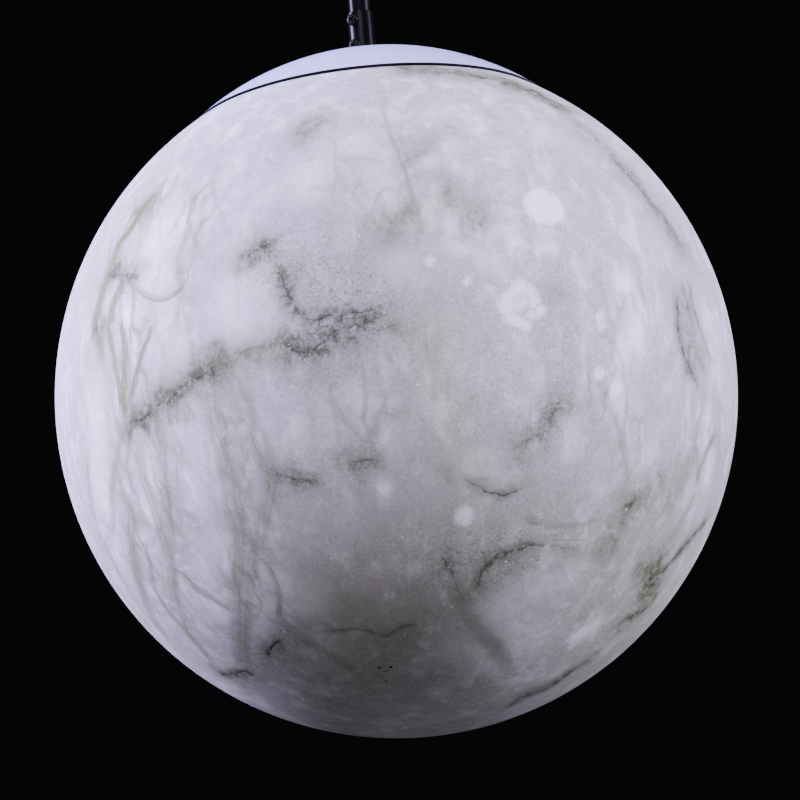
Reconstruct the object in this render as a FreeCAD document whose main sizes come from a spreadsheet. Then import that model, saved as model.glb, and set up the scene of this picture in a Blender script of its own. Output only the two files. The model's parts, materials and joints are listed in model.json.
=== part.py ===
import FreeCAD, Part
import Sketcher
import math
import os
from types import SimpleNamespace

# Globe pendant light. A hollow stone globe hangs on a three-armed plate at the foot of a thin tube.
# A domed cap closes the globe's mouth, and its sleeve slides up the tube to let a hand reach the lamp.
# The tube hangs from a knuckle that tilts in a fork, and the fork turns in a bracket on the ceiling.
# Millimetres. The origin is on the ceiling, +Z is up, and the whole lamp hangs below it.

doc = FreeCAD.newDocument("globe_pendant")
sheet = doc.addObject("Spreadsheet::Sheet", "Sizes")

driving = {
    # stone globe
    "globe_radius": 150,
    "globe_wall": 10,
    "mouth_radius": 58,
    "seat_width": 7,
    # domed cap and the gasket under it
    "cap_overlap": 15.6,
    "cap_dome_radius": 127.3,
    "cap_sheet": 0.6,
    "cap_rim_gap": 0.25,
    "cap_edge": 0.6,
    "cap_land_radius": 11,
    "gasket_inset": 1.5,
    "gasket_width": 4,
    # sleeve on the cap, with its nut, washer and two screws
    "sleeve_radius": 6,
    "sleeve_rise": 22.2,
    "sleeve_collar_radius": 9.5,
    "sleeve_collar_height": 3,
    "sleeve_nut_flats": 17,
    "sleeve_screw_azimuth": 33,
    "sleeve_screw_low": 6,
    "sleeve_screw_high": 18,
    "sleeve_screw_radius": 1.5,
    "sleeve_screw_head_radius": 2.8,
    "sleeve_screw_head_height": 2,
    # tube and the lead inside it
    "tube_radius": 5,
    "tube_wall": 1,
    "tube_exposed": 130,
    "flex_radius": 3.2,
    "flex_bend": 10,
    # three-armed hanger inside the globe
    "arm_overlap": 12,
    "arm_width": 12,
    "hanger_sheet": 3,
    "hanger_hub_radius": 14,
    "pad_least": 2.5,
    "pad_margin": 2,
    "tube_nut_flats": 14,
    "nut_height": 5,
    "washer_height": 1.2,
    "washer_radius": 10,
    # lampholder
    "holder_gap": 26,
    "holder_entry_radius": 8,
    "holder_entry_height": 10,
    "holder_radius": 20,
    "holder_wall": 2.4,
    "holder_cap_height": 28,
    "holder_skirt": 30,
    "holder_ring_radius": 23,
    "holder_ring_height": 4,
    "insert_height": 9,
    "shell_wall": 0.6,
    "shell_height": 23,
    "contact_radius": 3,
    "contact_height": 2.5,
    # lamp
    "lamp_base_radius": 13.1,
    "lamp_base_height": 19,
    "lamp_tip_height": 4.5,
    "lamp_tip_radius": 11,
    "lamp_button_radius": 4.5,
    "lamp_button_height": 1.2,
    "lamp_neck_height": 18,
    "lamp_neck_radius": 20.5,
    "lamp_bulb_radius": 22.5,
    "lamp_glass": 1.2,
    # swivel fork and knuckle
    "stud_radius": 5,
    "fork_bore_radius": 3.6,
    "hub_height": 7,
    "hub_gap": 0.5,
    "hub_margin": 0.8,
    "knuckle_radius": 8,
    "knuckle_gap": 0.7,
    "knuckle_side_gap": 0.3,
    "knuckle_length": 24,
    "knuckle_socket": 12,
    "cheek_thickness": 4,
    "cheek_half_width": 7,
    "pivot_radius": 2,
    "pivot_head_radius": 3.6,
    "pivot_head_height": 2.2,
    # canopy with its studs and dome nuts
    "canopy_radius": 60,
    "canopy_depth": 44,
    "canopy_edge": 10,
    "canopy_sheet": 1.2,
    "canopy_hole_gap": 1,
    "stud_spacing": 50,
    "canopy_stud_radius": 2,
    "canopy_stud_head_radius": 3.5,
    "canopy_stud_head_height": 1.2,
    "dome_nut_radius": 4.5,
    "dome_nut_skirt": 4,
    "dome_nut_crown": 4,
    # bracket, bush and terminals
    "bracket_half_length": 56,
    "bracket_width": 24,
    "bracket_sheet": 2,
    "bracket_drop": 26,
    "bracket_well": 31,
    "slot_spacing": 88,
    "slot_width": 5.2,
    "slot_length": 14,
    "bush_wall": 1.5,
    "bush_flange_radius": 10,
    "bush_flange_height": 1.5,
    "block_width": 30,
    "block_depth": 16,
    "block_offset": 24,
    "block_cover": 1,
    "block_hole_radius": 2,
    "block_hole_depth": 9,
    "block_pitch": 9.5,
    "terminal_screw_radius": 1.9,
    "terminal_screw_length": 6,
    "terminal_screw_recess": 1.5,
    "earth_tab_width": 16,
    "earth_tab_length": 14,
    "earth_screw_radius": 2,
    "earth_screw_head_radius": 3.6,
    "earth_screw_head_height": 2.4,
    "earth_screw_length": 8,
    # clearances
    "running_clearance": 0.05,
    "slide_clearance": 0.1,
    "pad_clearance": 0.2,
    "thread_clearance": 0.05,
    "thread_spare": 1.5,
}

for row, (name, value) in enumerate(driving.items(), start=1):
    sheet.set("A%d" % row, name)
    sheet.set("B%d" % row, str(value))
    sheet.setAlias("B%d" % row, name)
doc.recompute()


class Size:
    """A length that carries both its value and the sheet expression behind it."""

    def __init__(self, value, text):
        self.value = float(value)
        self.text = text

    def __add__(self, other):
        other = as_size(other)
        return Size(self.value + other.value, "(%s + %s)" % (self.text, other.text))

    def __sub__(self, other):
        other = as_size(other)
        return Size(self.value - other.value, "(%s - %s)" % (self.text, other.text))

    def __mul__(self, other):
        other = as_size(other)
        return Size(self.value * other.value, "(%s * %s)" % (self.text, other.text))

    def __truediv__(self, other):
        other = as_size(other)
        return Size(self.value / other.value, "(%s / %s)" % (self.text, other.text))

    def __neg__(self):
        return Size(-self.value, "(0 - %s)" % self.text)


def as_size(number):
    return number if isinstance(number, Size) else Size(number, "%.9g" % number)


def leg(longest, other):
    """The second leg of a right triangle, from its longest side and one leg."""
    inside = longest * longest - other * other
    return Size(math.sqrt(inside.value), "sqrt(%s)" % inside.text)


def reach(one, other):
    """The longest side of a right triangle, from its two legs."""
    inside = one * one + other * other
    return Size(math.sqrt(inside.value), "sqrt(%s)" % inside.text)


d = SimpleNamespace(**{name: Size(value, "Sizes." + name) for name, value in driving.items()})
zero = as_size(0)


def bind(part, **sizes):
    """Tie properties of a part to sheet expressions."""
    for name, size in sizes.items():
        part.setExpression(name, size.text)
    return part


def place(part, x=zero, y=zero, z=zero, axis=(0, 0, 1), turn=zero):
    """Put a part at a point that follows the sheet, turned about an axis through that point."""
    start = FreeCAD.Vector(x.value, y.value, z.value)
    part.Placement = FreeCAD.Placement(start, FreeCAD.Rotation(FreeCAD.Vector(*axis), turn.value))
    part.setExpression("Placement.Base.x", x.text)
    part.setExpression("Placement.Base.y", y.text)
    part.setExpression("Placement.Base.z", z.text)
    if turn.text != zero.text:
        part.setExpression("Placement.Rotation.Angle", turn.text)
    return part


def new_body(label):
    body = doc.addObject("PartDesign::Body", label)
    body.Label = label
    return body


def new_sketch(body, plane, height=zero):
    """A sketch on one of the body's own origin planes, lifted along the plane's normal."""
    sketch = body.newObject("Sketcher::SketchObject", body.Name + "_sketch")
    planes = {feature.Role: feature for feature in body.Origin.OriginFeatures}
    sketch.AttachmentSupport = (planes[plane], [""])
    sketch.MapMode = "FlatFace"
    sketch.setExpression("AttachmentOffset.Base.z", height.text)
    return sketch


def pin_point(sketch, edge, end, corner):
    """Hold one end of an edge at a corner whose two coordinates follow the sheet."""
    for kind, axis, size in (("DistanceX", -2, corner[0]), ("DistanceY", -1, corner[1])):
        if size.text == zero.text:
            sketch.addConstraint(Sketcher.Constraint("PointOnObject", edge, end, axis))
        else:
            number = sketch.addConstraint(Sketcher.Constraint(kind, -1, 1, edge, end, size.value))
            sketch.setExpression("Constraints[%d]" % number, size.text)


def add_arc(sketch, start, finish, radius, turn):
    """An arc under half a circle from start to finish, to the left (turn 1) or the right (turn -1)."""
    first, last = (start, finish) if turn > 0 else (finish, start)
    run = last - first
    sagitta_leg = math.sqrt(max(radius.value ** 2 - (run.Length / 2) ** 2, 0))
    left = FreeCAD.Vector(-run.y, run.x, 0).normalize()
    centre = (first + last) / 2 + left * sagitta_leg
    angles = [math.atan2(point.y - centre.y, point.x - centre.x) for point in (first, last)]
    if angles[1] < angles[0]:
        angles[1] += 2 * math.pi
    circle = Part.Circle(centre, FreeCAD.Vector(0, 0, 1), radius.value)
    edge = sketch.addGeometry(Part.ArcOfCircle(circle, *angles))
    number = sketch.addConstraint(Sketcher.Constraint("Radius", edge, radius.value))
    sketch.setExpression("Constraints[%d]" % number, radius.text)
    return (1, 2) if turn > 0 else (2, 1)


def draw(body, plane, corners, arcs=None, closed=True, height=zero):
    """A fully constrained outline. arcs gives an edge's number its radius and its turn."""
    arcs = arcs or {}
    sketch = new_sketch(body, plane, height)
    corners = [(as_size(x), as_size(y)) for x, y in corners]
    points = [FreeCAD.Vector(x.value, y.value, 0) for x, y in corners]
    count = len(points) if closed else len(points) - 1
    ends = []
    for edge in range(count):
        start, finish = points[edge], points[(edge + 1) % len(points)]
        if edge in arcs:
            ends.append(add_arc(sketch, start, finish, *arcs[edge]))
        else:
            sketch.addGeometry(Part.LineSegment(start, finish))
            ends.append((1, 2))
    for edge in range(count):
        following = (edge + 1) % count
        if closed or following:
            join = Sketcher.Constraint("Coincident", edge, ends[edge][1], following, ends[following][0])
            sketch.addConstraint(join)
        pin_point(sketch, edge, ends[edge][0], corners[edge])
    if not closed:
        pin_point(sketch, count - 1, ends[-1][1], corners[-1])
    return sketch


def draw_circles(body, plane, circles, height=zero):
    """Circles given as (x, y, radius), all in one sketch."""
    sketch = new_sketch(body, plane, height)
    for x, y, radius in circles:
        x, y = as_size(x), as_size(y)
        middle = FreeCAD.Vector(x.value, y.value, 0)
        edge = sketch.addGeometry(Part.Circle(middle, FreeCAD.Vector(0, 0, 1), radius.value))
        pin_point(sketch, edge, 3, (x, y))
        number = sketch.addConstraint(Sketcher.Constraint("Radius", edge, radius.value))
        sketch.setExpression("Constraints[%d]" % number, radius.text)
    return sketch


def turned(label, corners, arcs=None):
    """A body turned about Z from a section drawn as (radius, height)."""
    body = new_body(label)
    section = draw(body, "XZ_Plane", corners, arcs)
    revolve = body.newObject("PartDesign::Revolution", label + "_turn")
    revolve.Profile = section
    revolve.ReferenceAxis = (section, ["V_Axis"])
    revolve.Angle = 360
    return body


def pad(body, sketch, length, symmetric=False):
    feature = body.newObject("PartDesign::Pad", body.Name + "_pad")
    feature.Profile = sketch
    if symmetric:
        feature.SideType = "Symmetric"
    return bind(feature, Length=length)


def cut(body, sketch, length=None):
    """Cut to both sides of the sketch: a slot of the given length, or right through."""
    feature = body.newObject("PartDesign::Pocket", body.Name + "_cut")
    feature.Profile = sketch
    feature.SideType = "Symmetric"
    if length is None:
        feature.Type = "ThroughAll"
    else:
        bind(feature, Length=length)
    return feature


def cylinder(label, radius, height):
    part = doc.addObject("Part::Cylinder", label)
    part.Label = label
    return bind(part, Radius=radius, Height=height)


def box(label, length, width, height):
    part = doc.addObject("Part::Box", label)
    part.Label = label
    return bind(part, Length=length, Width=width, Height=height)


def group(label, pieces):
    """Identical pieces that share one node, still as separate solids."""
    part = doc.addObject("Part::Compound", label)
    part.Label = label
    part.Links = pieces
    return part


def ring(label, inner, outer, height):
    return turned(label, [(inner, zero), (outer, zero), (outer, height), (inner, height)])


def hex_nut(label, flats, bore, height):
    """A hexagon nut whose corners are turned off at both ends."""
    corner = flats / math.sqrt(3)
    bevel = corner - flats / 2
    hexagon = doc.addObject("Part::Prism", label + "_hexagon")
    hexagon.Polygon = 6
    bind(hexagon, Circumradius=corner, Height=height)
    blank = turned(label + "_blank", [
        (bore, zero), (flats / 2, zero), (corner, bevel / 2),
        (corner, height - bevel / 2), (flats / 2, height), (bore, height),
    ])
    nut = doc.addObject("Part::Common", label)
    nut.Label = label
    nut.Base = hexagon
    nut.Tool = blank
    return nut


def round_headed(label, radius, length, head_radius, head_height):
    """A screw along Z, its head above zero with a rounded rim, its shank below."""
    brim = head_height / 2
    return turned(label, [
        (zero, -length), (radius, -length), (radius, zero), (head_radius, zero),
        (head_radius, brim), (head_radius - brim, head_height), (zero, head_height),
    ], {4: (brim, 1)})


# heights above the globe's centre
globe_inner = d.globe_radius - d.globe_wall
seat_radius = d.mouth_radius + d.seat_width
seat_height = leg(d.globe_radius, seat_radius)
cap_rim_radius = seat_radius + d.cap_overlap
cap_rim_height = leg(d.globe_radius + d.cap_rim_gap + d.cap_sheet, cap_rim_radius)
dome_rim_height = leg(d.cap_dome_radius, cap_rim_radius)
dome_centre = cap_rim_height - dome_rim_height
dome_land_height = leg(d.cap_dome_radius, d.cap_land_radius)
land_height = dome_centre + dome_land_height
dome_inner = d.cap_dome_radius - d.cap_sheet
arm_reach = d.mouth_radius + d.arm_overlap
arm_tip = reach(arm_reach, d.arm_width / 2)
hanger_top = leg(globe_inner, arm_tip) - d.pad_least
holder_top = hanger_top - d.hanger_sheet - d.washer_height - d.nut_height - d.holder_gap

# drops below the ceiling
stud_stack = d.bush_flange_height + d.washer_height + d.nut_height + d.thread_spare
stud_top_drop = d.bracket_drop - stud_stack
hub_top_drop = d.canopy_depth + d.hub_gap
hub_bottom_drop = hub_top_drop + d.hub_height
pivot_drop = hub_bottom_drop + d.knuckle_gap + d.knuckle_radius
knuckle_foot_drop = pivot_drop + d.knuckle_length
sleeve_top_drop = knuckle_foot_drop + d.tube_exposed
land_drop = sleeve_top_drop + d.sleeve_rise
globe_drop = land_drop + land_height


def in_globe(part, height=zero):
    """Put a part at a height above the globe's centre."""
    return place(part, z=height - globe_drop)


# ceiling bracket: a strap bent into a well, with a slotted foot at each end
def make_ceiling_bracket():
    body = new_body("ceiling_bracket")
    far, well, sheet_, drop = d.bracket_half_length, d.bracket_well, d.bracket_sheet, d.bracket_drop
    wall = well + sheet_
    strap = draw(body, "XZ_Plane", [
        (-far, zero), (-well, zero), (-well, -drop), (well, -drop), (well, zero), (far, zero),
        (far, -sheet_), (wall, -sheet_), (wall, -drop - sheet_),
        (-wall, -drop - sheet_), (-wall, -sheet_), (-far, -sheet_),
    ])
    pad(body, strap, d.bracket_width, symmetric=True)
    half = d.bracket_width / 2
    block_half = d.block_width / 2
    tab_end = d.block_offset + d.block_depth
    block_tab = draw(body, "XY_Plane", [
        (-block_half, zero), (block_half, zero), (block_half, tab_end), (-block_half, tab_end),
    ], height=-drop - sheet_)
    pad(body, block_tab, sheet_)
    earth_half = d.earth_tab_width / 2
    earth_end = -half - d.earth_tab_length
    earth_tab = draw(body, "XY_Plane", [
        (-earth_half, zero), (-earth_half, earth_end), (earth_half, earth_end), (earth_half, zero),
    ], height=-drop - sheet_)
    pad(body, earth_tab, sheet_)
    stud_hole = d.canopy_stud_radius + d.thread_clearance
    cut(body, draw_circles(body, "XY_Plane", [
        (zero, zero, bush_radius + d.running_clearance),
        (d.stud_spacing / 2, zero, stud_hole),
        (-d.stud_spacing / 2, zero, stud_hole),
        (zero, earth_screw_place, d.earth_screw_radius + d.thread_clearance),
    ]))
    for side in (-1, 1):
        middle = d.slot_spacing / 2 * side
        run = (d.slot_length - d.slot_width) / 2
        round_end = d.slot_width / 2
        cut(body, draw(body, "XY_Plane", [
            (middle - run, -round_end), (middle + run, -round_end), (middle + run + round_end, zero),
            (middle + run, round_end), (middle - run, round_end), (middle - run - round_end, zero),
        ], {1: (round_end, 1), 2: (round_end, 1), 4: (round_end, 1), 5: (round_end, 1)}))
    return body


bush_radius = d.stud_radius + d.running_clearance + d.bush_wall
earth_screw_place = -(d.bracket_width + d.earth_tab_length) / 2
ceiling_bracket = make_ceiling_bracket()


# bush in the bracket's well, with the flange that the lamp's weight rests on
bush_bore = d.stud_radius + d.running_clearance
swivel_bush = place(turned("swivel_bush", [
    (bush_bore, -d.bracket_sheet), (bush_radius, -d.bracket_sheet), (bush_radius, zero),
    (d.bush_flange_radius, zero), (d.bush_flange_radius, d.bush_flange_height),
    (bush_bore, d.bush_flange_height),
]), z=-d.bracket_drop)


# canopy: a spun cup, open at the ceiling, with a hole for the swivel's stud
def make_canopy():
    hole = d.stud_radius + d.canopy_hole_gap
    edge_start = d.canopy_radius - d.canopy_edge
    edge_height = d.canopy_edge - d.canopy_depth
    inside = d.canopy_radius - d.canopy_sheet
    floor = d.canopy_sheet - d.canopy_depth
    body = turned("canopy", [
        (hole, -d.canopy_depth), (edge_start, -d.canopy_depth), (d.canopy_radius, edge_height),
        (d.canopy_radius, zero), (inside, zero), (inside, edge_height), (edge_start, floor), (hole, floor),
    ], {1: (d.canopy_edge, 1), 5: (d.canopy_edge - d.canopy_sheet, -1)})
    stud_hole = d.canopy_stud_radius + d.slide_clearance
    cut(body, draw_circles(body, "XY_Plane", [
        (d.stud_spacing / 2, zero, stud_hole), (-d.stud_spacing / 2, zero, stud_hole),
    ]))
    return body


canopy = make_canopy()


# two studs hang from the bracket through the canopy, and a dome nut closes each
def make_canopy_fixings():
    studs, nuts = [], []
    nut_bore = d.canopy_stud_radius + d.thread_clearance
    blind = d.dome_nut_skirt + d.dome_nut_crown / 2
    stud_length = d.canopy_depth - d.bracket_drop + d.dome_nut_skirt
    crown = (d.dome_nut_radius * d.dome_nut_radius + d.dome_nut_crown * d.dome_nut_crown)
    crown = crown / (d.dome_nut_crown * 2)
    for number, side in enumerate((-1, 1), start=1):
        across = d.stud_spacing / 2 * side
        stud = round_headed("canopy_stud_%d" % number, d.canopy_stud_radius, stud_length,
                            d.canopy_stud_head_radius, d.canopy_stud_head_height)
        studs.append(place(stud, x=across, z=-d.bracket_drop))
        nut = turned("canopy_nut_%d" % number, [
            (nut_bore, zero), (nut_bore, -blind), (zero, -blind),
            (zero, -d.dome_nut_skirt - d.dome_nut_crown),
            (d.dome_nut_radius, -d.dome_nut_skirt), (d.dome_nut_radius, zero),
        ], {3: (crown, 1)})
        nuts.append(place(nut, x=across, z=-d.canopy_depth))
    return group("canopy_studs", studs), group("canopy_nuts", nuts)


canopy_studs, canopy_nuts = make_canopy_fixings()


# terminal block on the bracket's tab, with a wire hole and a clamp screw for each of its three ways
flex_height = d.flex_bend - stud_top_drop
block_top = flex_height + d.flex_radius + d.block_cover
block_height = block_top + d.bracket_drop


def make_terminal_block():
    blank = box("terminal_block_blank", d.block_width, d.block_depth, block_height)
    place(blank, x=-d.block_width / 2, y=d.block_offset, z=-d.bracket_drop)
    holes, screws = [], []
    screw_depth = d.terminal_screw_length + d.terminal_screw_recess
    for way in (-1, 0, 1):
        across = d.block_pitch * way
        wire = cylinder("wire_hole_%d" % (way + 2), d.block_hole_radius, d.block_hole_depth)
        rear = d.block_offset + d.block_depth - d.block_hole_depth
        holes.append(place(wire, x=across, y=rear, z=-d.bracket_drop + block_height / 2,
                           axis=(1, 0, 0), turn=as_size(-90)))
        well = cylinder("screw_hole_%d" % (way + 2), d.block_hole_radius, screw_depth)
        middle = d.block_offset + d.block_depth / 2
        holes.append(place(well, x=across, y=middle, z=block_top - screw_depth))
        screw = cylinder("terminal_screw_%d" % (way + 2), d.terminal_screw_radius, d.terminal_screw_length)
        screws.append(place(screw, x=across, y=middle, z=block_top - screw_depth))
    drilled = doc.addObject("Part::MultiFuse", "terminal_block_holes")
    drilled.Shapes = holes
    block = doc.addObject("Part::Cut", "terminal_block")
    block.Label = "terminal_block"
    block.Base = blank
    block.Tool = drilled
    return block, group("terminal_screws", screws)


terminal_block, terminal_screws = make_terminal_block()

earth_screw = place(round_headed("earth_screw", d.earth_screw_radius, d.earth_screw_length,
                                 d.earth_screw_head_radius, d.earth_screw_head_height),
                    y=earth_screw_place, z=-d.bracket_drop)


# the lead in the canopy: up through the stud, over one bend and into the terminal block
def make_canopy_flex():
    body = new_body("canopy_flex")
    rise = hub_bottom_drop - stud_top_drop
    path = draw(body, "YZ_Plane", [
        (zero, zero), (zero, rise), (d.flex_bend, rise + d.flex_bend),
        (d.block_offset, rise + d.flex_bend),
    ], {1: (d.flex_bend, -1)}, closed=False)
    section = draw_circles(body, "XY_Plane", [(zero, zero, d.flex_radius)])
    pipe = body.newObject("PartDesign::AdditivePipe", "canopy_flex_pipe")
    pipe.Profile = section
    pipe.Spine = (path, ["Edge1", "Edge2", "Edge3"])
    return place(body, z=-hub_bottom_drop)


canopy_flex = make_canopy_flex()


# swivel fork: a hollow stud and hub, with two cheeks that carry the pivot screws
knuckle_half = d.knuckle_radius + d.knuckle_side_gap
cheek_face = knuckle_half + d.cheek_thickness
hub_radius = reach(cheek_face, d.cheek_half_width) + d.hub_margin


def make_swivel_fork():
    hub_bottom = pivot_drop - hub_bottom_drop
    hub_top = pivot_drop - hub_top_drop
    stud_top = pivot_drop - stud_top_drop
    body = turned("swivel_fork", [
        (d.fork_bore_radius, hub_bottom), (hub_radius, hub_bottom), (hub_radius, hub_top),
        (d.stud_radius, hub_top), (d.stud_radius, stud_top), (d.fork_bore_radius, stud_top),
    ])
    side = d.cheek_half_width
    root = hub_bottom + d.hub_height / 2
    cheeks = draw(body, "XZ_Plane", [
        (-side, zero), (zero, -side), (side, zero), (side, root), (-side, root),
    ], {0: (side, 1), 1: (side, 1)})
    pad(body, cheeks, cheek_face * 2, symmetric=True)
    clear = side * 2
    gap = draw(body, "XZ_Plane", [
        (-clear, -clear), (clear, -clear), (clear, hub_bottom), (-clear, hub_bottom),
    ])
    cut(body, gap, knuckle_half * 2)
    cut(body, draw_circles(body, "XY_Plane", [(zero, zero, d.fork_bore_radius)]))
    hole = d.pivot_radius + d.running_clearance
    cut(body, draw_circles(body, "XZ_Plane", [(zero, zero, hole)]))
    return place(body, z=-pivot_drop)


swivel_fork = make_swivel_fork()

stud_seat = d.bush_flange_height - d.bracket_drop
stud_thread = d.stud_radius + d.thread_clearance
swivel_washer = place(ring("swivel_washer", stud_thread, d.washer_radius, d.washer_height), z=stud_seat)
swivel_nut = place(hex_nut("swivel_nut", d.tube_nut_flats, stud_thread, d.nut_height),
                   z=stud_seat + d.washer_height)


# pivot screws: one in each cheek, their plain tips in the knuckle's wall, clear of the lead
def make_pivot_screws():
    screws = []
    length = cheek_face - d.fork_bore_radius - d.knuckle_gap
    for number, side in enumerate((-1, 1), start=1):
        screw = round_headed("pivot_screw_%d" % number, d.pivot_radius, length,
                             d.pivot_head_radius, d.pivot_head_height)
        screws.append(place(screw, y=cheek_face * side, z=-pivot_drop,
                            axis=(1, 0, 0), turn=as_size(-90 * side)))
    return group("pivot_screws", screws)


pivot_screws = make_pivot_screws()


# knuckle: a round-headed barrel that takes the tube in its foot
def make_stem_knuckle():
    bore, round_head = d.fork_bore_radius, d.knuckle_radius
    socket = d.tube_radius + d.thread_clearance
    socket_top = d.knuckle_socket - d.knuckle_length
    body = turned("stem_knuckle", [
        (bore, leg(round_head, bore)), (bore, socket_top), (socket, socket_top),
        (socket, -d.knuckle_length), (round_head, -d.knuckle_length), (round_head, zero),
    ], {5: (round_head, 1)})
    hole = d.pivot_radius + d.running_clearance
    cut(body, draw_circles(body, "XZ_Plane", [(zero, zero, hole)]))
    return place(body, z=-pivot_drop)


stem_knuckle = make_stem_knuckle()


# tube from the knuckle's socket down to the lampholder's entry
tube_top = globe_drop - knuckle_foot_drop + d.knuckle_socket
tube_foot = holder_top - d.holder_entry_height
tube_bore = d.tube_radius - d.tube_wall
stem_tube = in_globe(ring("stem_tube", tube_bore, d.tube_radius, tube_top - tube_foot), tube_foot)

# the lead in the tube, from just under the pivot down to the lampholder's insert
insert_top = holder_top - d.holder_cap_height + d.insert_height / 2
flex_top = globe_drop - pivot_drop - d.knuckle_radius
stem_flex = in_globe(cylinder("stem_flex", d.flex_radius, flex_top - insert_top), insert_top)


# globe: a turned stone shell with a ground seat round its mouth
globe_shade = in_globe(turned("globe_shade", [
    (zero, -d.globe_radius), (seat_radius, seat_height), (d.mouth_radius, seat_height),
    (d.mouth_radius, leg(globe_inner, d.mouth_radius)), (zero, -globe_inner),
], {0: (d.globe_radius, 1), 3: (globe_inner, -1)}))


# hanger: a plate with three round-ended arms, small enough to pass edgeways through the mouth
def make_globe_hanger():
    body = new_body("globe_hanger")
    hole = d.tube_radius + d.thread_clearance
    hub = draw_circles(body, "XY_Plane", [(zero, zero, d.hanger_hub_radius), (zero, zero, hole)])
    pad(body, hub, d.hanger_sheet)
    half = d.arm_width / 2
    inner = d.hanger_hub_radius - half
    straight = arm_reach - half
    arm = draw(body, "XY_Plane", [
        (inner, -half), (straight, -half), (arm_reach, zero), (straight, half), (inner, half),
    ], {1: (half, 1), 2: (half, 1)})
    arm_pad = pad(body, arm, d.hanger_sheet)
    pattern = body.newObject("PartDesign::PolarPattern", "globe_hanger_arms")
    pattern.Originals = [arm_pad]
    pattern.Axis = (arm, ["N_Axis"])
    pattern.Angle = 360
    pattern.Occurrences = arm_count
    body.Tip = pattern
    in_globe(body, hanger_top - d.hanger_sheet)
    return body


arm_count = 3
globe_hanger = make_globe_hanger()


# pads: rubber blocks on the arms, their tops shaped to the inside of the stone
def make_hanger_pads():
    pads = []
    start = d.mouth_radius + d.pad_margin
    finish = arm_reach - d.pad_margin
    width = d.arm_width - d.pad_margin
    block_rise = leg(globe_inner, start) - hanger_top
    for arm in range(arm_count):
        block = box("hanger_pad_block_%d" % (arm + 1), finish - start, width, block_rise)
        place(block, x=start, y=-width / 2, z=hanger_top)
        ball = doc.addObject("Part::Sphere", "hanger_pad_ball_%d" % (arm + 1))
        bind(ball, Radius=globe_inner - d.pad_clearance)
        rubber = doc.addObject("Part::Common", "hanger_pad_%d" % (arm + 1))
        rubber.Base = block
        rubber.Tool = ball
        pads.append(place(rubber, z=-globe_drop, turn=as_size(360 / arm_count * arm)))
    return group("hanger_pads", pads)


hanger_pads = make_hanger_pads()

tube_thread = d.tube_radius + d.thread_clearance
hanger_bottom = hanger_top - d.hanger_sheet
hanger_top_nut = in_globe(hex_nut("hanger_top_nut", d.tube_nut_flats, tube_thread, d.nut_height),
                          hanger_top)
hanger_washer = in_globe(ring("hanger_washer", tube_thread, d.washer_radius, d.washer_height),
                         hanger_bottom - d.washer_height)
hanger_bottom_nut = in_globe(hex_nut("hanger_bottom_nut", d.tube_nut_flats, tube_thread, d.nut_height),
                             hanger_bottom - d.washer_height - d.nut_height)


# lampholder: a domed cap on the tube, a skirt with a ring, and a ceramic insert with the contacts
def make_lampholder():
    inside = d.holder_radius - d.holder_wall
    shoulder = -(d.holder_entry_height + d.holder_cap_height) / 2
    entry_floor = -d.holder_entry_height
    foot = -d.holder_cap_height
    slope = d.holder_radius - d.holder_entry_radius
    cap = turned("lampholder_cap", [
        (tube_thread, zero), (d.holder_entry_radius, zero), (d.holder_entry_radius, entry_floor),
        (d.holder_radius, shoulder), (d.holder_radius, foot), (inside, foot), (inside, shoulder),
        (tube_thread, entry_floor - d.holder_wall / 2),
    ], {2: (slope * 2, -1)})
    skirt_foot = foot - d.holder_skirt
    ring_top = foot - d.holder_skirt / 2
    ring_foot = ring_top - d.holder_ring_height
    skirt = turned("lampholder_body", [
        (inside, foot), (d.holder_radius, foot), (d.holder_radius, ring_top),
        (d.holder_ring_radius, ring_top), (d.holder_ring_radius, ring_foot),
        (d.holder_radius, ring_foot), (d.holder_radius, skirt_foot), (inside, skirt_foot),
    ])
    insert_foot = insert_top - holder_top - d.insert_height
    insert = turned("lampholder_insert", [
        (zero, insert_foot), (inside - d.thread_clearance, insert_foot),
        (inside - d.thread_clearance, insert_foot + d.insert_height), (zero, insert_foot + d.insert_height),
    ])
    shell_radius = d.lamp_base_radius + d.pad_clearance
    shell_outer = shell_radius + d.shell_wall
    shell_foot = insert_foot - d.shell_height
    shell = turned("lampholder_shell", [
        (d.contact_radius * 2, insert_foot), (d.contact_radius * 2, insert_foot - d.shell_wall),
        (shell_radius, insert_foot - d.shell_wall), (shell_radius, shell_foot),
        (shell_outer, shell_foot), (shell_outer, insert_foot),
    ])
    contact_foot = insert_foot - d.contact_height
    contact = cylinder("lampholder_contact", d.contact_radius, d.contact_height)
    for piece in (cap, skirt, insert, shell):
        in_globe(piece, holder_top)
    in_globe(contact, holder_top + contact_foot)
    return [cap, skirt, insert, shell, contact], holder_top + contact_foot


lampholder, lamp_top = make_lampholder()


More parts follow.
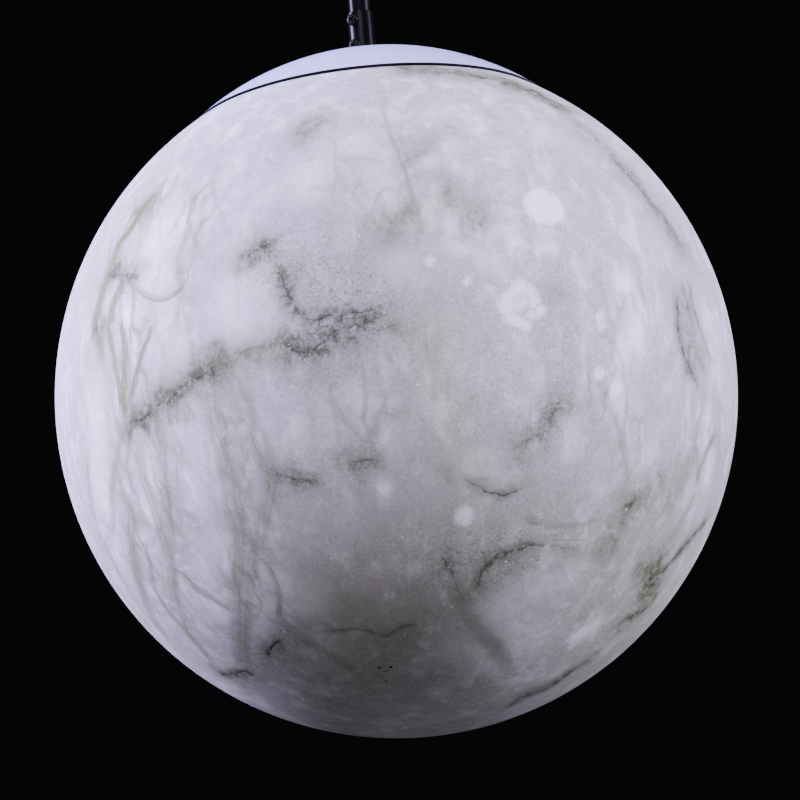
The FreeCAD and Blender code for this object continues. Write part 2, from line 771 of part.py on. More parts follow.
# lamp: contact button, screw base with its insulating cone, a flared neck and a round diffuser
def make_lamp():
    cone_top = -d.lamp_button_height
    base_top = cone_top - d.lamp_tip_height
    base_foot = base_top - d.lamp_base_height
    neck_foot = base_foot - d.lamp_neck_height
    button = turned("lamp_contact", [
        (zero, zero), (zero, cone_top), (d.lamp_button_radius, cone_top),
        (d.lamp_button_radius - d.lamp_button_height / 2, zero),
    ])
    base = turned("lamp_base", [
        (zero, cone_top), (zero, base_foot), (d.lamp_base_radius, base_foot),
        (d.lamp_base_radius, base_top), (d.lamp_tip_radius, base_top), (d.lamp_button_radius, cone_top),
    ])
    flare = d.lamp_neck_height * 2
    housing = turned("lamp_housing", [
        (zero, base_foot), (zero, neck_foot), (d.lamp_neck_radius, neck_foot),
        (d.lamp_base_radius, base_foot),
    ], {2: (flare, -1)})
    sphere_drop = leg(d.lamp_bulb_radius, d.lamp_neck_radius)
    centre = neck_foot - sphere_drop
    inner = d.lamp_bulb_radius - d.lamp_glass
    inner_rim = leg(inner, sphere_drop)
    diffuser = turned("lamp_diffuser", [
        (inner_rim, neck_foot), (inner, centre), (zero, centre - inner),
        (zero, centre - d.lamp_bulb_radius), (d.lamp_bulb_radius, centre), (d.lamp_neck_radius, neck_foot),
    ], {0: (inner, -1), 1: (inner, -1), 3: (d.lamp_bulb_radius, 1), 4: (d.lamp_bulb_radius, 1)})
    for piece in (button, base, housing, diffuser):
        in_globe(piece, lamp_top)
    return [button, base, housing, diffuser]


lamp = make_lamp()


# cap: a spun dome with a flat land for the sleeve, its rim turned to a thin edge just clear of the stone
def make_globe_cap():
    hole = d.sleeve_radius + d.slide_clearance
    lip = cap_rim_radius * dome_inner / d.cap_dome_radius - d.cap_edge
    land_under = dome_land_height - d.cap_sheet
    body = turned("globe_cap", [
        (hole, dome_land_height), (d.cap_land_radius, dome_land_height),
        (cap_rim_radius, dome_rim_height), (lip, leg(dome_inner, lip)),
        (leg(dome_inner, land_under), land_under), (hole, land_under),
    ], {1: (d.cap_dome_radius, -1), 3: (dome_inner, 1)})
    return in_globe(body, dome_centre)


globe_cap = make_globe_cap()


# gasket: a ring glued under the cap, resting on the ground seat of the stone
def make_cap_gasket():
    inner = d.mouth_radius + d.gasket_inset
    outer = inner + d.gasket_width
    top = dome_inner - d.thread_clearance
    return in_globe(turned("cap_gasket", [
        (inner, seat_height), (outer, seat_height), (outer, dome_centre + leg(top, outer)),
        (inner, dome_centre + leg(top, inner)),
    ], {2: (top, 1)}))


cap_gasket = make_cap_gasket()


# sleeve: a collared tube through the cap's land, drilled for its two screws
sleeve_screw_heights = (d.sleeve_screw_low, d.sleeve_screw_high)
sleeve_thread = d.sleeve_radius + d.thread_clearance


def make_cap_sleeve():
    bore = d.tube_radius + d.slide_clearance
    tail = d.cap_sheet + d.washer_height + d.nut_height + d.thread_spare
    blank = turned("cap_sleeve_blank", [
        (bore, -tail), (d.sleeve_radius, -tail), (d.sleeve_radius, zero), (d.sleeve_collar_radius, zero),
        (d.sleeve_collar_radius, d.sleeve_collar_height), (d.sleeve_radius, d.sleeve_collar_height),
        (d.sleeve_radius, d.sleeve_rise), (bore, d.sleeve_rise),
    ])
    drills = []
    hole = d.sleeve_screw_radius + d.thread_clearance
    for number, rise in enumerate(sleeve_screw_heights, start=1):
        drill = cylinder("sleeve_drill_%d" % number, hole, d.sleeve_radius * 2)
        drills.append(place(drill, z=rise, axis=(1, 0, 0), turn=as_size(90)))
    drilling = doc.addObject("Part::MultiFuse", "sleeve_drilling")
    drilling.Shapes = drills
    sleeve = doc.addObject("Part::Cut", "cap_sleeve")
    sleeve.Label = "cap_sleeve"
    sleeve.Base = blank
    sleeve.Tool = drilling
    return place(sleeve, z=-land_drop, turn=-d.sleeve_screw_azimuth)


cap_sleeve = make_cap_sleeve()


# sleeve screws: pan heads on the sleeve's left front, loosened clear of the tube
def make_sleeve_screws():
    screws = []
    length = d.sleeve_radius - d.tube_radius - d.pad_clearance
    for number, rise in enumerate(sleeve_screw_heights, start=1):
        screw = round_headed("sleeve_screw_shape_%d" % number, d.sleeve_screw_radius, length,
                             d.sleeve_screw_head_radius, d.sleeve_screw_head_height)
        place(screw, y=-d.sleeve_radius, z=rise, axis=(1, 0, 0), turn=as_size(90))
        screws.append(screw)
    return place(group("sleeve_screws", screws), z=-land_drop, turn=-d.sleeve_screw_azimuth)


sleeve_screws = make_sleeve_screws()

cap_under_drop = land_drop + d.cap_sheet
sleeve_washer = place(ring("sleeve_washer", sleeve_thread, d.washer_radius, d.washer_height),
                      z=-cap_under_drop - d.washer_height)
sleeve_nut = place(hex_nut("sleeve_nut", d.sleeve_nut_flats, sleeve_thread, d.nut_height),
                   z=-cap_under_drop - d.washer_height - d.nut_height)

nodes = [
    ceiling_bracket, swivel_bush, canopy, canopy_studs, canopy_nuts, terminal_block, terminal_screws,
    earth_screw, canopy_flex, swivel_fork, swivel_washer, swivel_nut, pivot_screws, stem_knuckle,
    stem_tube, stem_flex, hanger_top_nut, hanger_washer, globe_hanger, hanger_bottom_nut, hanger_pads,
    globe_shade, *lampholder, *lamp, globe_cap, cap_gasket, cap_sleeve, sleeve_screws, sleeve_washer,
    sleeve_nut,
]

doc.recompute()
failed = [part.Label for part in doc.Objects if {"Invalid", "Error"} & set(part.State)]
unsound = [part.Label for part in nodes if part.Shape.isNull() or not part.Shape.isValid()]
empty = [part.Label for part in nodes if not part.Shape.Solids]
if failed or unsound or empty:
    raise RuntimeError("failed %s, unsound %s, empty %s" % (failed, unsound, empty))

os.makedirs("parts", exist_ok=True)
for part in nodes:
    part.Shape.exportStep("parts/%s.step" % part.Label)
    print(part.Label, len(part.Shape.Solids), "solids", round(part.Shape.Volume), "mm3")
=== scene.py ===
import json
import math
import bmesh
import bpy
import numpy as np
from mathutils import Matrix, Vector, noise


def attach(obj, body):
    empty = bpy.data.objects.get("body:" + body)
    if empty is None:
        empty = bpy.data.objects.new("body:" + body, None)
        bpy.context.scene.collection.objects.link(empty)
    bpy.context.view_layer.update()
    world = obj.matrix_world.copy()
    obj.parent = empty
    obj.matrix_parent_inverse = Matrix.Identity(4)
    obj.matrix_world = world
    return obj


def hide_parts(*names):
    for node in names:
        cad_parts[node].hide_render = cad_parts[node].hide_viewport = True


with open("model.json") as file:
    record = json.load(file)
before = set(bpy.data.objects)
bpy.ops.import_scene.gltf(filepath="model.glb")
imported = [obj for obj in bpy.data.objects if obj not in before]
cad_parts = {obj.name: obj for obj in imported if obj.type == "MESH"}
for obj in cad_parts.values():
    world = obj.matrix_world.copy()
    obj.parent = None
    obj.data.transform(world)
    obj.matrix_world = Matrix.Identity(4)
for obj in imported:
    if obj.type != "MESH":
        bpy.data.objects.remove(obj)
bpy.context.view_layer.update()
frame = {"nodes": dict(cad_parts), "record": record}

# Globe pendant light: a stone globe under a white domed cap, on a thin black stem.
# Lengths in the settings are millimetres, heights are below the ceiling at 0, and -Y faces the viewer.

mm = 0.001
globeHeight = -392.2  # centre of the stone globe
globeRadius = 150.0


# helpers for shapes

def arcPoints(centre, radius, start, end, count):
    angles = [math.radians(start + (end - start) * step / (count - 1)) for step in range(count)]
    return [(centre[0] + radius * math.cos(a), centre[1] + radius * math.sin(a)) for a in angles]


def lathe(profile, steps, closed=False):
    bm = bmesh.new()
    verts = [bm.verts.new((radius * mm, 0.0, height * mm)) for radius, height in profile]
    edges = [bm.edges.new(pair) for pair in zip(verts, verts[1:])]
    if closed:
        edges.append(bm.edges.new((verts[-1], verts[0])))
    bmesh.ops.spin(bm, geom=verts + edges, axis=(0, 0, 1), cent=(0, 0, 0), angle=math.tau,
                   steps=steps, use_merge=True)
    bmesh.ops.remove_doubles(bm, verts=bm.verts, dist=0.001 * mm)
    bmesh.ops.recalc_face_normals(bm, faces=bm.faces)
    return bm


def roundedBar(corners, radius, count=5):
    # a closed section whose corners are all rounded by the same small radius
    section = []
    for before, corner, after in zip(corners[-1:] + corners[:-1], corners, corners[1:] + corners[:1]):
        here = Vector(corner)
        towards = (Vector(before) - here).normalized()
        onward = (Vector(after) - here).normalized()
        for step in range(count):
            t = step / (count - 1)
            section.append(here + towards * radius * (1 - t) ** 2 + onward * radius * t ** 2)
    return section


def addPiece(name, bm, material, body, slot, *nodes, sharp=40):
    mesh = bpy.data.meshes.new(name)
    bm.to_mesh(mesh)
    bm.free()
    mesh.shade_smooth()
    mesh.set_sharp_from_angle(angle=math.radians(sharp))
    mesh.materials.append(material)
    piece = bpy.data.objects.new(name, mesh)
    bpy.context.collection.objects.link(piece)
    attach(piece, body)
    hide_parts(*nodes)
    return piece


def joinInto(target, source, matrix):
    bmesh.ops.transform(source, matrix=matrix, verts=source.verts)
    mesh = bpy.data.meshes.new("loosePart")
    source.to_mesh(mesh)
    source.free()
    target.from_mesh(mesh)
    bpy.data.meshes.remove(mesh)


# helpers for materials

def linear(hexColour):
    channels = [int(hexColour[start:start + 2], 16) / 255 for start in (0, 2, 4)]
    return [c / 12.92 if c <= 0.04045 else ((c + 0.055) / 1.055) ** 2.4 for c in channels] + [1.0]


def addNode(tree, recipe, *values):
    # the recipe gives the kind of node, its settings, and the inputs that the values go to
    node = tree.nodes.new("ShaderNode" + recipe["kind"])
    for name, value in recipe.get("settings", {}).items():
        setattr(node, name, value)
    for key, value in zip(recipe.get("inputs", range(9)), values):
        if isinstance(value, bpy.types.NodeSocket):
            tree.links.new(value, node.inputs[key])
        else:
            node.inputs[key].default_value = value
    return node.outputs[recipe["output"]] if "output" in recipe else node.outputs


softStep = {"kind": "MapRange", "settings": {"interpolation_type": "SMOOTHSTEP"}, "output": 0}
blend = {"kind": "Mix", "settings": {"data_type": "RGBA"}, "inputs": (0, 6, 7), "output": 2}
shade = {**blend, "settings": {"data_type": "RGBA", "blend_type": "MULTIPLY"}}
mottle = {"kind": "TexNoise", "inputs": ("Vector", "Scale", "Detail", "Roughness", "Distortion"), "output": 0}
cells = {"kind": "TexVoronoi", "inputs": ("Vector", "Scale")}
cellEdges = {**cells, "settings": {"feature": "DISTANCE_TO_EDGE"}, "output": 0}
stretched = {"kind": "Mapping", "inputs": ("Vector", "Scale"), "output": 0}
splitVector = {"kind": "SeparateXYZ"}
splitColour = {"kind": "SeparateColor"}
relief = {"kind": "Bump", "inputs": ("Height", "Strength", "Distance"), "output": 0}
plus, minus, times, over, larger, power, unsigned = [
    {"kind": "Math", "settings": {"operation": name}, "output": 0}
    for name in ("ADD", "SUBTRACT", "MULTIPLY", "DIVIDE", "MAXIMUM", "POWER", "ABSOLUTE")]
shift, unshift, away, grown = [
    {"kind": "VectorMath", "settings": {"operation": name}, "inputs": inputs, "output": output}
    for name, inputs, output in (("ADD", (0, 1), 0), ("SUBTRACT", (0, 1), 0), ("DISTANCE", (0, 1), 1),
                                 ("SCALE", (0, "Scale"), 0))]


def newMaterial(name):
    material = bpy.data.materials.new(name)
    material.use_nodes = True
    tree = material.node_tree
    tree.nodes.clear()
    surface = addNode(tree, {"kind": "BsdfPrincipled", "output": 0})
    addNode(tree, {"kind": "OutputMaterial", "inputs": ("Surface",)}, surface)
    place = addNode(tree, {"kind": "TexCoord", "output": "Object"})
    return material, tree, surface.node, place


# camera: where the photographer stood, a little below the globe, with the picture rolled

photoView = {
    "offset": (0.0, -1035.3, -175.1),  # from the globe's centre
    "lean": 5.4,  # degrees that the stem leans to the left
    "focalPx": 2365.3,
    "centrePx": (396.4, 396.8),  # the globe's centre in the picture
    "framePx": 800,
    "sensor": 36.0,
}


def addCamera():
    globe = Vector((0.0, 0.0, globeHeight * mm))
    spot = globe + Vector(photoView["offset"]) * mm
    ahead = (globe - spot).normalized()
    level = ahead.cross(Vector((0, 0, 1))).normalized()
    upright = level.cross(ahead)
    lean = math.radians(photoView["lean"])
    right = level * math.cos(lean) - upright * math.sin(lean)
    up = upright * math.cos(lean) + level * math.sin(lean)
    data = bpy.data.cameras.new("photoCamera")
    data.sensor_width = photoView["sensor"]
    data.lens = data.sensor_width * photoView["focalPx"] / photoView["framePx"]
    data.shift_x = 0.5 - photoView["centrePx"][0] / photoView["framePx"]
    data.shift_y = photoView["centrePx"][1] / photoView["framePx"] - 0.5
    camera = bpy.data.objects.new("photoCamera", data)
    camera.matrix_world = Matrix.Translation(spot) @ Matrix((right, up, -ahead)).transposed().to_4x4()
    bpy.context.collection.objects.link(camera)
    bpy.context.scene.camera = camera
    return np.array(spot - globe) / mm, np.array(right), np.array(up), np.array(ahead)


eye, eyeRight, eyeUp, eyeAhead = addCamera()
print("camera placed")


# stone: veins and stains as the photo shows them, each a few picture points long

# dark broken cracks: half width in mm, darkness, picture points
crackVeins = {
    "mainVein": (1.0, 1.0, [(123, 425), (137, 419), (150, 412), (157, 405), (167, 404), (172, 398), (190, 382),
                            (205, 376), (222, 363)]),
    "veinTail": (0.9, 0.4, [(226, 361), (240, 355), (258, 347), (281, 341)]),
    "patchFoot": (0.7, 0.9, [(283, 344), (297, 352), (311, 350), (320, 344), (329, 339), (342, 335), (350, 335),
                             (357, 328), (368, 332)]),
    "patchRidge": (0.6, 0.9, [(300, 314), (312, 321), (324, 318), (334, 315), (341, 318), (342, 329), (346, 338)]),
    "patchTop": (0.6, 0.8, [(342, 316), (352, 311), (362, 312), (372, 309)]),
    "patchHook": (0.5, 1.0, [(343, 312), (340, 322), (345, 334), (352, 326), (360, 327), (366, 333)]),
    "patchTail": (0.6, 0.5, [(366, 331), (381, 328), (398, 327)]),
    "patchArm": (0.8, 0.8, [(278, 273), (286, 280), (289, 291), (296, 304), (301, 315)]),
    "armHead": (0.8, 0.8, [(244, 257), (252, 254), (260, 249), (269, 243)]),
    "smile": (0.8, 0.75, [(464, 478), (473, 485), (482, 491), (496, 496), (507, 495), (524, 487)]),
    "darkArc": (1.1, 0.8, [(475, 592), (480, 582), (484, 569), (496, 558), (513, 552), (530, 546), (549, 545)]),
    "arcTail": (0.8, 0.4, [(545, 545), (560, 547), (578, 550)]),
    "leftOfArc": (1.0, 0.5, [(443, 556), (452, 573), (457, 588), (464, 604)]),
    "fissureLeft": (1.1, 1.0, [(678, 291), (677, 308), (678, 330), (681, 344), (686, 360), (691, 371), (700, 391)]),
    "fissureRight": (0.9, 0.7, [(690, 280), (691, 297), (696, 316), (702, 334), (708, 352), (712, 367)]),
    "bottomLine": (0.8, 0.6, [(324, 630), (342, 630), (364, 630), (373, 634), (385, 635), (395, 630), (409, 625),
                               (422, 627)]),
    "bottomHook": (1.3, 0.95, [(267, 656), (270, 649), (275, 644), (282, 640)]),
    "bottomLeft": (1.1, 0.8, [(219, 674), (232, 673), (247, 671), (257, 678)]),
    "dashLeft": (1.1, 0.6, [(274, 474), (282, 477), (296, 479), (312, 480)]),
    "dashRight": (1.1, 0.6, [(346, 466), (360, 463), (378, 460)]),
    "slantMark": (1.2, 0.5, [(526, 444), (540, 432), (552, 414), (560, 402)]),
    "lowRightUpper": (1.2, 0.8, [(636, 498), (634, 503), (628, 510)]),
    "lowRightMiddle": (1.4, 1.0, [(655, 560), (651, 572), (650, 580), (654, 588)]),
    "lowRightFoot": (1.2, 0.8, [(657, 592), (648, 606), (635, 613), (628, 622)]),
    "lowRightOuter": (1.0, 0.75, [(652, 580), (664, 570), (676, 557), (685, 545), (697, 532), (711, 514)]),
    "hairRight": (0.7, 0.6, [(657, 470), (661, 479), (659, 488)]),
    "limbLower": (1.2, 0.75, [(500, 711), (522, 698), (545, 690), (563, 677), (578, 667), (592, 657)]),
    "limbUpper": (1.4, 0.6, [(600, 146), (625, 172), (641, 190), (651, 204), (661, 214), (671, 230), (683, 250)]),
    "leftKnot": (1.6, 0.75, [(110, 273), (120, 275), (131, 274), (138, 280)]),
    "netKnot": (1.5, 0.6, [(101, 313), (96, 325), (101, 332)]),
}

# soft olive strands, in three layers so that neighbours don't share one
strandVeinsA = {
    "leftFall": (2.4, 0.95, [(151, 194), (145, 207), (129, 232), (118, 246), (111, 273), (103, 292), (95, 326),
                            (100, 345), (104, 366)]),
    "upperFall": (2.0, 0.3, [(198, 183), (189, 223), (181, 252), (179, 283)]),
    "footFall": (1.8, 0.4, [(125, 425), (119, 446), (115, 470), (113, 489), (112, 516), (113, 540)]),
    "longFall": (2.6, 0.45, [(134, 430), (141, 446), (144, 478), (153, 503), (160, 527), (167, 551), (172, 571),
                             (174, 592), (179, 606), (187, 627), (201, 649), (220, 668)]),
    "broadFall": (4.4, 0.4, [(212, 392), (215, 425), (225, 454), (232, 489), (236, 516), (241, 540), (242, 575),
                              (241, 609), (241, 644), (246, 670)]),
    "shortFall": (1.2, 0.4, [(270, 566), (279, 592), (281, 620)]),
    "edgeFall": (2.0, 0.3, [(87, 439), (89, 482), (98, 530), (120, 575), (150, 620)]),
    "topThread": (1.0, 0.3, [(381, 97), (385, 123), (398, 150), (407, 182), (414, 203), (419, 221), (420, 235),
                             (417, 252)]),
    "middleFall": (3.5, 0.25, [(433, 331), (436, 355), (440, 380), (441, 407)]),
    "rightFall": (2.0, 0.25, [(600, 376), (607, 400), (618, 430), (622, 460)]),
}
strandVeinsB = {
    "netFall": (1.7, 0.95, [(119, 320), (124, 345), (124, 369), (123, 395), (125, 420)]),
    "netLoop": (1.2, 0.7, [(134, 284), (146, 297), (162, 301), (177, 294), (184, 282)]),
    "knotFall": (2.0, 1.0, [(126, 276), (120, 290), (112, 307), (110, 325)]),
    "upperThread": (1.6, 0.25, [(206, 194), (198, 232), (193, 254)]),
    "veinHangLeft": (1.4, 0.65, [(155, 408), (158, 422), (160, 437)]),
    "innerFall": (1.7, 0.45, [(163, 424), (163, 451), (164, 475), (168, 501), (169, 516), (171, 537), (172, 560)]),
    "pairFall": (3.8, 0.34, [(240, 378), (246, 410), (255, 436), (265, 463), (269, 489), (265, 516), (262, 540),
                             (263, 566)]),
    "brownFall": (3.4, 0.4, [(121, 488), (131, 516), (132, 540), (136, 566), (143, 592), (153, 618), (170, 642),
                             (191, 661)]),
    "branchFall": (1.8, 0.5, [(174, 570), (181, 574), (198, 589), (215, 601), (234, 614)]),
    "brownStreak": (3.0, 0.22, [(462, 600), (476, 627), (490, 644), (501, 655), (513, 681)]),
    "lowBrown": (2.2, 0.2, [(279, 618), (301, 636), (336, 656), (360, 673)]),
}
strandVeinsC = {
    "netThread": (1.3, 0.9, [(106, 318), (111, 340), (114, 360), (119, 387), (121, 412)]),
    "netSlant": (1.4, 0.8, [(154, 324), (143, 352), (136, 378), (129, 404)]),
    "knotSide": (1.2, 0.6, [(129, 276), (134, 290), (133, 312)]),
    "midThread": (1.2, 0.3, [(190, 338), (193, 349), (197, 361)]),
    "veinHangRight": (1.6, 0.6, [(169, 402), (171, 414), (172, 428)]),
    "broadHang": (4.0, 0.3, [(222, 362), (227, 385), (230, 408), (233, 430)]),
    "limbThread": (1.4, 0.4, [(143, 538), (150, 566), (157, 592), (170, 612), (190, 634), (212, 660)]),
    "limbFall": (1.8, 0.35, [(101, 560), (118, 588), (140, 616), (166, 642), (198, 668)]),
    "veinHangs": (3.0, 0.35, [(176, 394), (186, 408), (192, 424)]),
    "leftThread": (1.0, 0.3, [(152, 446), (153, 470), (161, 496), (165, 522)]),
    "limbRight": (1.6, 0.5, [(716, 432), (708, 448), (700, 470), (696, 490)]),
    "swirlUpper": (1.2, 0.3, [(520, 516), (545, 524), (572, 526), (600, 520)]),
    "swirlRight": (2.6, 0.22, [(616, 430), (622, 455), (630, 480), (636, 500)]),
    "swirlOuter": (2.2, 0.3, [(692, 500), (684, 518), (672, 536), (658, 556)]),
    "swirlLow": (2.4, 0.2, [(545, 548), (570, 552), (595, 548), (612, 536)]),
}

# stains round the veins, a few of them partly painted shade: radius in mm, amount, picture points
greyStainsAndShade = [
    (6, 0.9, [(130, 422), (150, 409), (170, 395), (192, 378), (222, 360)]),
    (9, 0.42, [(140, 414), (170, 396), (198, 378)]),
    (8, 0.45, [(222, 364), (246, 354), (282, 342)]),
    (8, 0.25, [(214, 378), (240, 368)]),
    (6, 0.85, [(290, 347), (308, 350), (324, 343)]),
    (11, 0.5, [(306, 326), (330, 326), (356, 322)]),
    (18, 0.16, [(290, 300), (330, 300), (380, 312)]),
    (6, 0.65, [(342, 330), (356, 323), (370, 318)]),
    (4, 0.65, [(304, 317), (326, 315), (352, 311)]),
    (4, 0.65, [(326, 338), (344, 333)]),
    (6, 0.35, [(378, 322), (396, 326)]),
    (5, 0.75, [(246, 256), (256, 250), (268, 244)]),
    (8, 0.32, [(256, 252), (280, 266), (292, 278)]),
    (4, 0.75, [(282, 276), (289, 291), (300, 314)]),
    (22, 0.08, [(285, 255), (330, 280), (370, 300)]),
    (6, 0.5, [(398, 216), (394, 222), (387, 238)]),
    (6, 0.45, [(453, 196), (465, 212), (472, 220)]),
    (6, 0.6, [(318, 119), (309, 128), (303, 136)]),
    (4, 0.4, [(411, 158), (426, 142)]),
    (4, 0.35, [(548, 296), (558, 290)]),
    (7, 0.42, [(528, 443), (545, 425), (558, 405)]),
    (5, 0.5, [(276, 477), (308, 480)]),
    (5, 0.35, [(350, 465), (374, 462)]),
    # the next stain is partly grey stain and partly painted shade low on the front
    (18, 0.16, [(345, 596), (385, 600), (425, 598)]),
    (4, 0.3, [(440, 470), (470, 484), (500, 494), (530, 482)]),
    (9, 0.40, [(480, 578), (492, 562), (512, 554)]),
    (13, 0.12, [(470, 540), (500, 530)]),
    (6, 0.35, [(446, 561), (460, 596)]),
    (8, 0.25, [(240, 668), (262, 656), (290, 644)]),
    (6, 0.6, [(222, 674), (252, 674)]),
    (8, 0.5, [(684, 296), (690, 326), (698, 356)]),
    (5, 0.6, [(680, 330), (690, 366)]),
    (7, 0.5, [(632, 506), (616, 528), (608, 545)]),
    (9, 0.85, [(652, 566), (652, 588)]),
    (7, 0.6, [(656, 594), (644, 608), (624, 624)]),
    (5, 0.6, [(660, 574), (682, 550), (705, 522)]),
    (8, 0.5, [(585, 130), (612, 156), (650, 202), (682, 248)]),
    # the next stain is partly grey stain and partly painted shadow under the cap's rim
    (8, 0.9, [(415, 70), (470, 74), (518, 86), (558, 106)]),
    (5, 0.5, [(530, 695), (592, 658)]),
    (22, 0.2, [(662, 560), (655, 600), (625, 645)]),
    (24, 0.12, [(400, 530), (450, 516), (505, 512)]),
    (6, 0.9, [(112, 275), (132, 276)]),
    (14, 0.10, [(102, 280), (102, 330), (110, 365)]),
    (5, 0.7, [(98, 318), (98, 330)]),
    (5, 0.45, [(150, 196), (140, 212)]),
]
brownStainsAndShade = [
    (5, 0.6, [(462, 602), (484, 636), (505, 662)]),
    (5, 0.2, [(300, 636), (360, 673)]),
    # the next stain is partly brown stain and partly painted shade of the dark bottom
    (24, 0.08, [(370, 668), (410, 668)]),
    (7, 0.4, [(132, 530), (149, 599)]),
    (26, 0.15, [(430, 330), (445, 420)]),
    (16, 0.25, [(560, 340), (580, 400)]),
]

# warmer stone
warmZones = [
    (26, 0.8, [(445, 340), (455, 420), (475, 500)]),
    (16, 0.8, [(196, 610), (214, 646), (250, 662)]),
    (20, 0.4, [(560, 340), (600, 450)]),
    (14, 0.5, [(395, 215), (460, 205)]),
    (8, 0.9, [(130, 422), (170, 396), (222, 362), (280, 346)]),
    (9, 0.55, [(246, 254), (280, 266), (292, 284)]),
    (12, 0.6, [(228, 430), (246, 500), (250, 570), (244, 640)]),
    (8, 0.4, [(118, 262), (104, 300), (100, 345)]),
]

# granular zones, where dark and bright crystals show
grainZones = [
    (20, 0.9, [(285, 262), (325, 288), (360, 305)]),
    (12, 1.0, [(292, 340), (340, 330), (372, 322)]),
    (16, 0.6, [(300, 360), (350, 350), (400, 345)]),
    (9, 0.6, [(140, 420), (200, 380), (260, 350)]),
    (8, 0.7, [(392, 222)]),
    (9, 0.6, [(456, 200), (470, 222)]),
    (9, 0.7, [(280, 477), (370, 463)]),
    (12, 0.8, [(530, 440), (556, 408)]),
    (18, 0.8, [(462, 556), (492, 556), (520, 548)]),
    (16, 0.6, [(636, 512), (650, 580), (630, 610)]),
    (30, 0.35, [(480, 380), (560, 320), (600, 360)]),
    (12, 0.6, [(240, 670), (290, 642)]),
    (9, 0.5, [(684, 340)]),
]

# pale clouds between the strands and round the inclusions
paleClouds = [
    (5, 0.6, [(624, 281), (628, 293)]),
    (6, 0.7, [(640, 316), (636, 338)]),
    (4, 0.6, [(623, 342), (625, 356)]),
    (5, 0.6, [(617, 390)]),
    (5, 0.45, [(570, 423)]),
    (5, 0.5, [(354, 392), (358, 402)]),
    (4, 0.5, [(386, 484), (386, 494)]),
    (8, 0.35, [(400, 268)]),
    (9, 0.3, [(380, 361)]),
    (4, 0.6, [(598, 622), (582, 634)]),
    (10, 0.5, [(164, 226), (156, 270)]),
    (9, 0.45, [(226, 296), (232, 330)]),
    (8, 0.4, [(168, 320), (178, 352)]),
    (9, 0.25, [(188, 440), (200, 500)]),
    (8, 0.4, [(315, 170), (308, 190)]),
    (10, 0.3, [(360, 140), (380, 170)]),
    (7, 0.35, [(150, 470), (152, 500)]),
    (7, 0.4, [(222, 540), (224, 560)]),
    (6, 0.5, [(128, 310), (133, 350)]),
    (5, 0.5, [(708, 418), (706, 440)]),
    (9, 0.35, [(480, 610), (520, 600), (570, 580)]),
    (14, 0.45, [(498, 622), (530, 640), (505, 656)]),
    (10, 0.4, [(286, 590), (310, 604)]),
    (9, 0.4, [(204, 556), (218, 608)]),
    (8, 0.5, [(98, 395), (98, 450), (103, 500)]),
    (26, 0.2, [(270, 430), (330, 430), (400, 400)]),
    (9, 0.4, [(258, 596), (262, 628)]),
    (13, 0.25, [(300, 652), (335, 655)]),
    (12, 0.3, [(452, 650), (470, 655)]),
    (5, 0.6, [(709, 458), (706, 478)]),
    (10, 0.5, [(255, 290), (262, 320)]),
]

# zones where a net of fine olive threads runs between white lenses
netZones = [
    (14, 1.0, [(146, 204), (124, 244), (112, 290), (108, 330)]),
    (16, 0.9, [(125, 330), (135, 370), (128, 410)]),
    (16, 0.5, [(122, 450), (135, 510), (150, 570), (185, 625)]),
    (18, 0.6, [(196, 200), (186, 250), (170, 310)]),
    (16, 0.45, [(228, 400), (244, 470), (246, 550), (244, 620)]),
    (14, 0.5, [(165, 450), (178, 530)]),
    (22, 0.45, [(640, 300), (610, 350), (620, 420)]),
    (16, 0.5, [(705, 430), (680, 480), (640, 500)]),
    (18, 0.35, [(330, 160), (380, 190), (420, 180)]),
    (20, 0.4, [(340, 390), (380, 420)]),
]

# white inclusions: picture point and radius in pixels
whiteSpots = [
    (545, 206, 20), (519, 286, 7), (509, 296, 6), (529, 290, 5), (507, 307, 7), (520, 303, 5), (533, 300, 6),
    (540, 309, 5), (513, 319, 7), (524, 324, 6), (530, 313, 4), (465, 516, 8), (599, 316, 5), (601, 325, 4),
    (599, 374, 6), (616, 390, 6), (625, 285, 6), (386, 488, 5), (466, 280, 3), (431, 261, 4),
]
# pin holes, in the same way
pinHoles = [(379.6, 667.7, 1.6), (390.8, 667.0, 1.7), (388.6, 670.4, 1.0), (384.4, 671.6, 0.7), (386.0, 680.7, 0.7)]

# how the marks spread over the stone, lengths in mm
spreading = {
    "shares": (1.0, 0.8),  # strength on the front and on the back
    "far": 40.0,  # stands for no vein near
    "taper": 0.12,  # share of a vein over which each end thins out
    "taperCurve": 0.6,
    "fade": 2.5,  # how soon a vein is at full strength inside its reach
    "stainReach": 2.6,  # radii past which a stain is left out
    "outside": -20.0,  # stands for no inclusion near
}
pxToMm = float(np.linalg.norm(eye)) / photoView["focalPx"]


def onStone(points):
    # the point of the globe behind each picture point, and its copy half a turn round
    pixels = np.array(points, dtype=float)
    across = (pixels[:, 0] - photoView["centrePx"][0]) / photoView["focalPx"]
    down = (pixels[:, 1] - photoView["centrePx"][1]) / photoView["focalPx"]
    rays = eyeAhead + across[:, None] * eyeRight - down[:, None] * eyeUp
    rays /= np.linalg.norm(rays, axis=1)[:, None]
    along = -rays @ eye
    spread = np.sqrt(np.clip(along ** 2 - eye @ eye + globeRadius ** 2, 0, None))
    near = eye + rays * (along - spread)[:, None]
    near *= (globeRadius / np.linalg.norm(near, axis=1))[:, None]
    return [near, near * np.array([-1, -1, 1])]


def smoothPath(points, parts=8):
    # a curve through the points, pushed back out to the globe
    if len(points) == 1:
        return np.vstack([points, points])
    padded = np.vstack([2 * points[0] - points[1], points, 2 * points[-1] - points[-2]])
    path = []
    for a, b, c, d in zip(padded, padded[1:], padded[2:], padded[3:]):
        for step in range(parts):
            t = step / parts
            path.append(0.5 * (2 * b + (c - a) * t + (2 * a - 5 * b + 4 * c - d) * t ** 2
                               + (3 * b - a - 3 * c + d) * t ** 3))
    path = np.array(path + [points[-1]])
    return path * (globeRadius / np.linalg.norm(path, axis=1))[:, None]


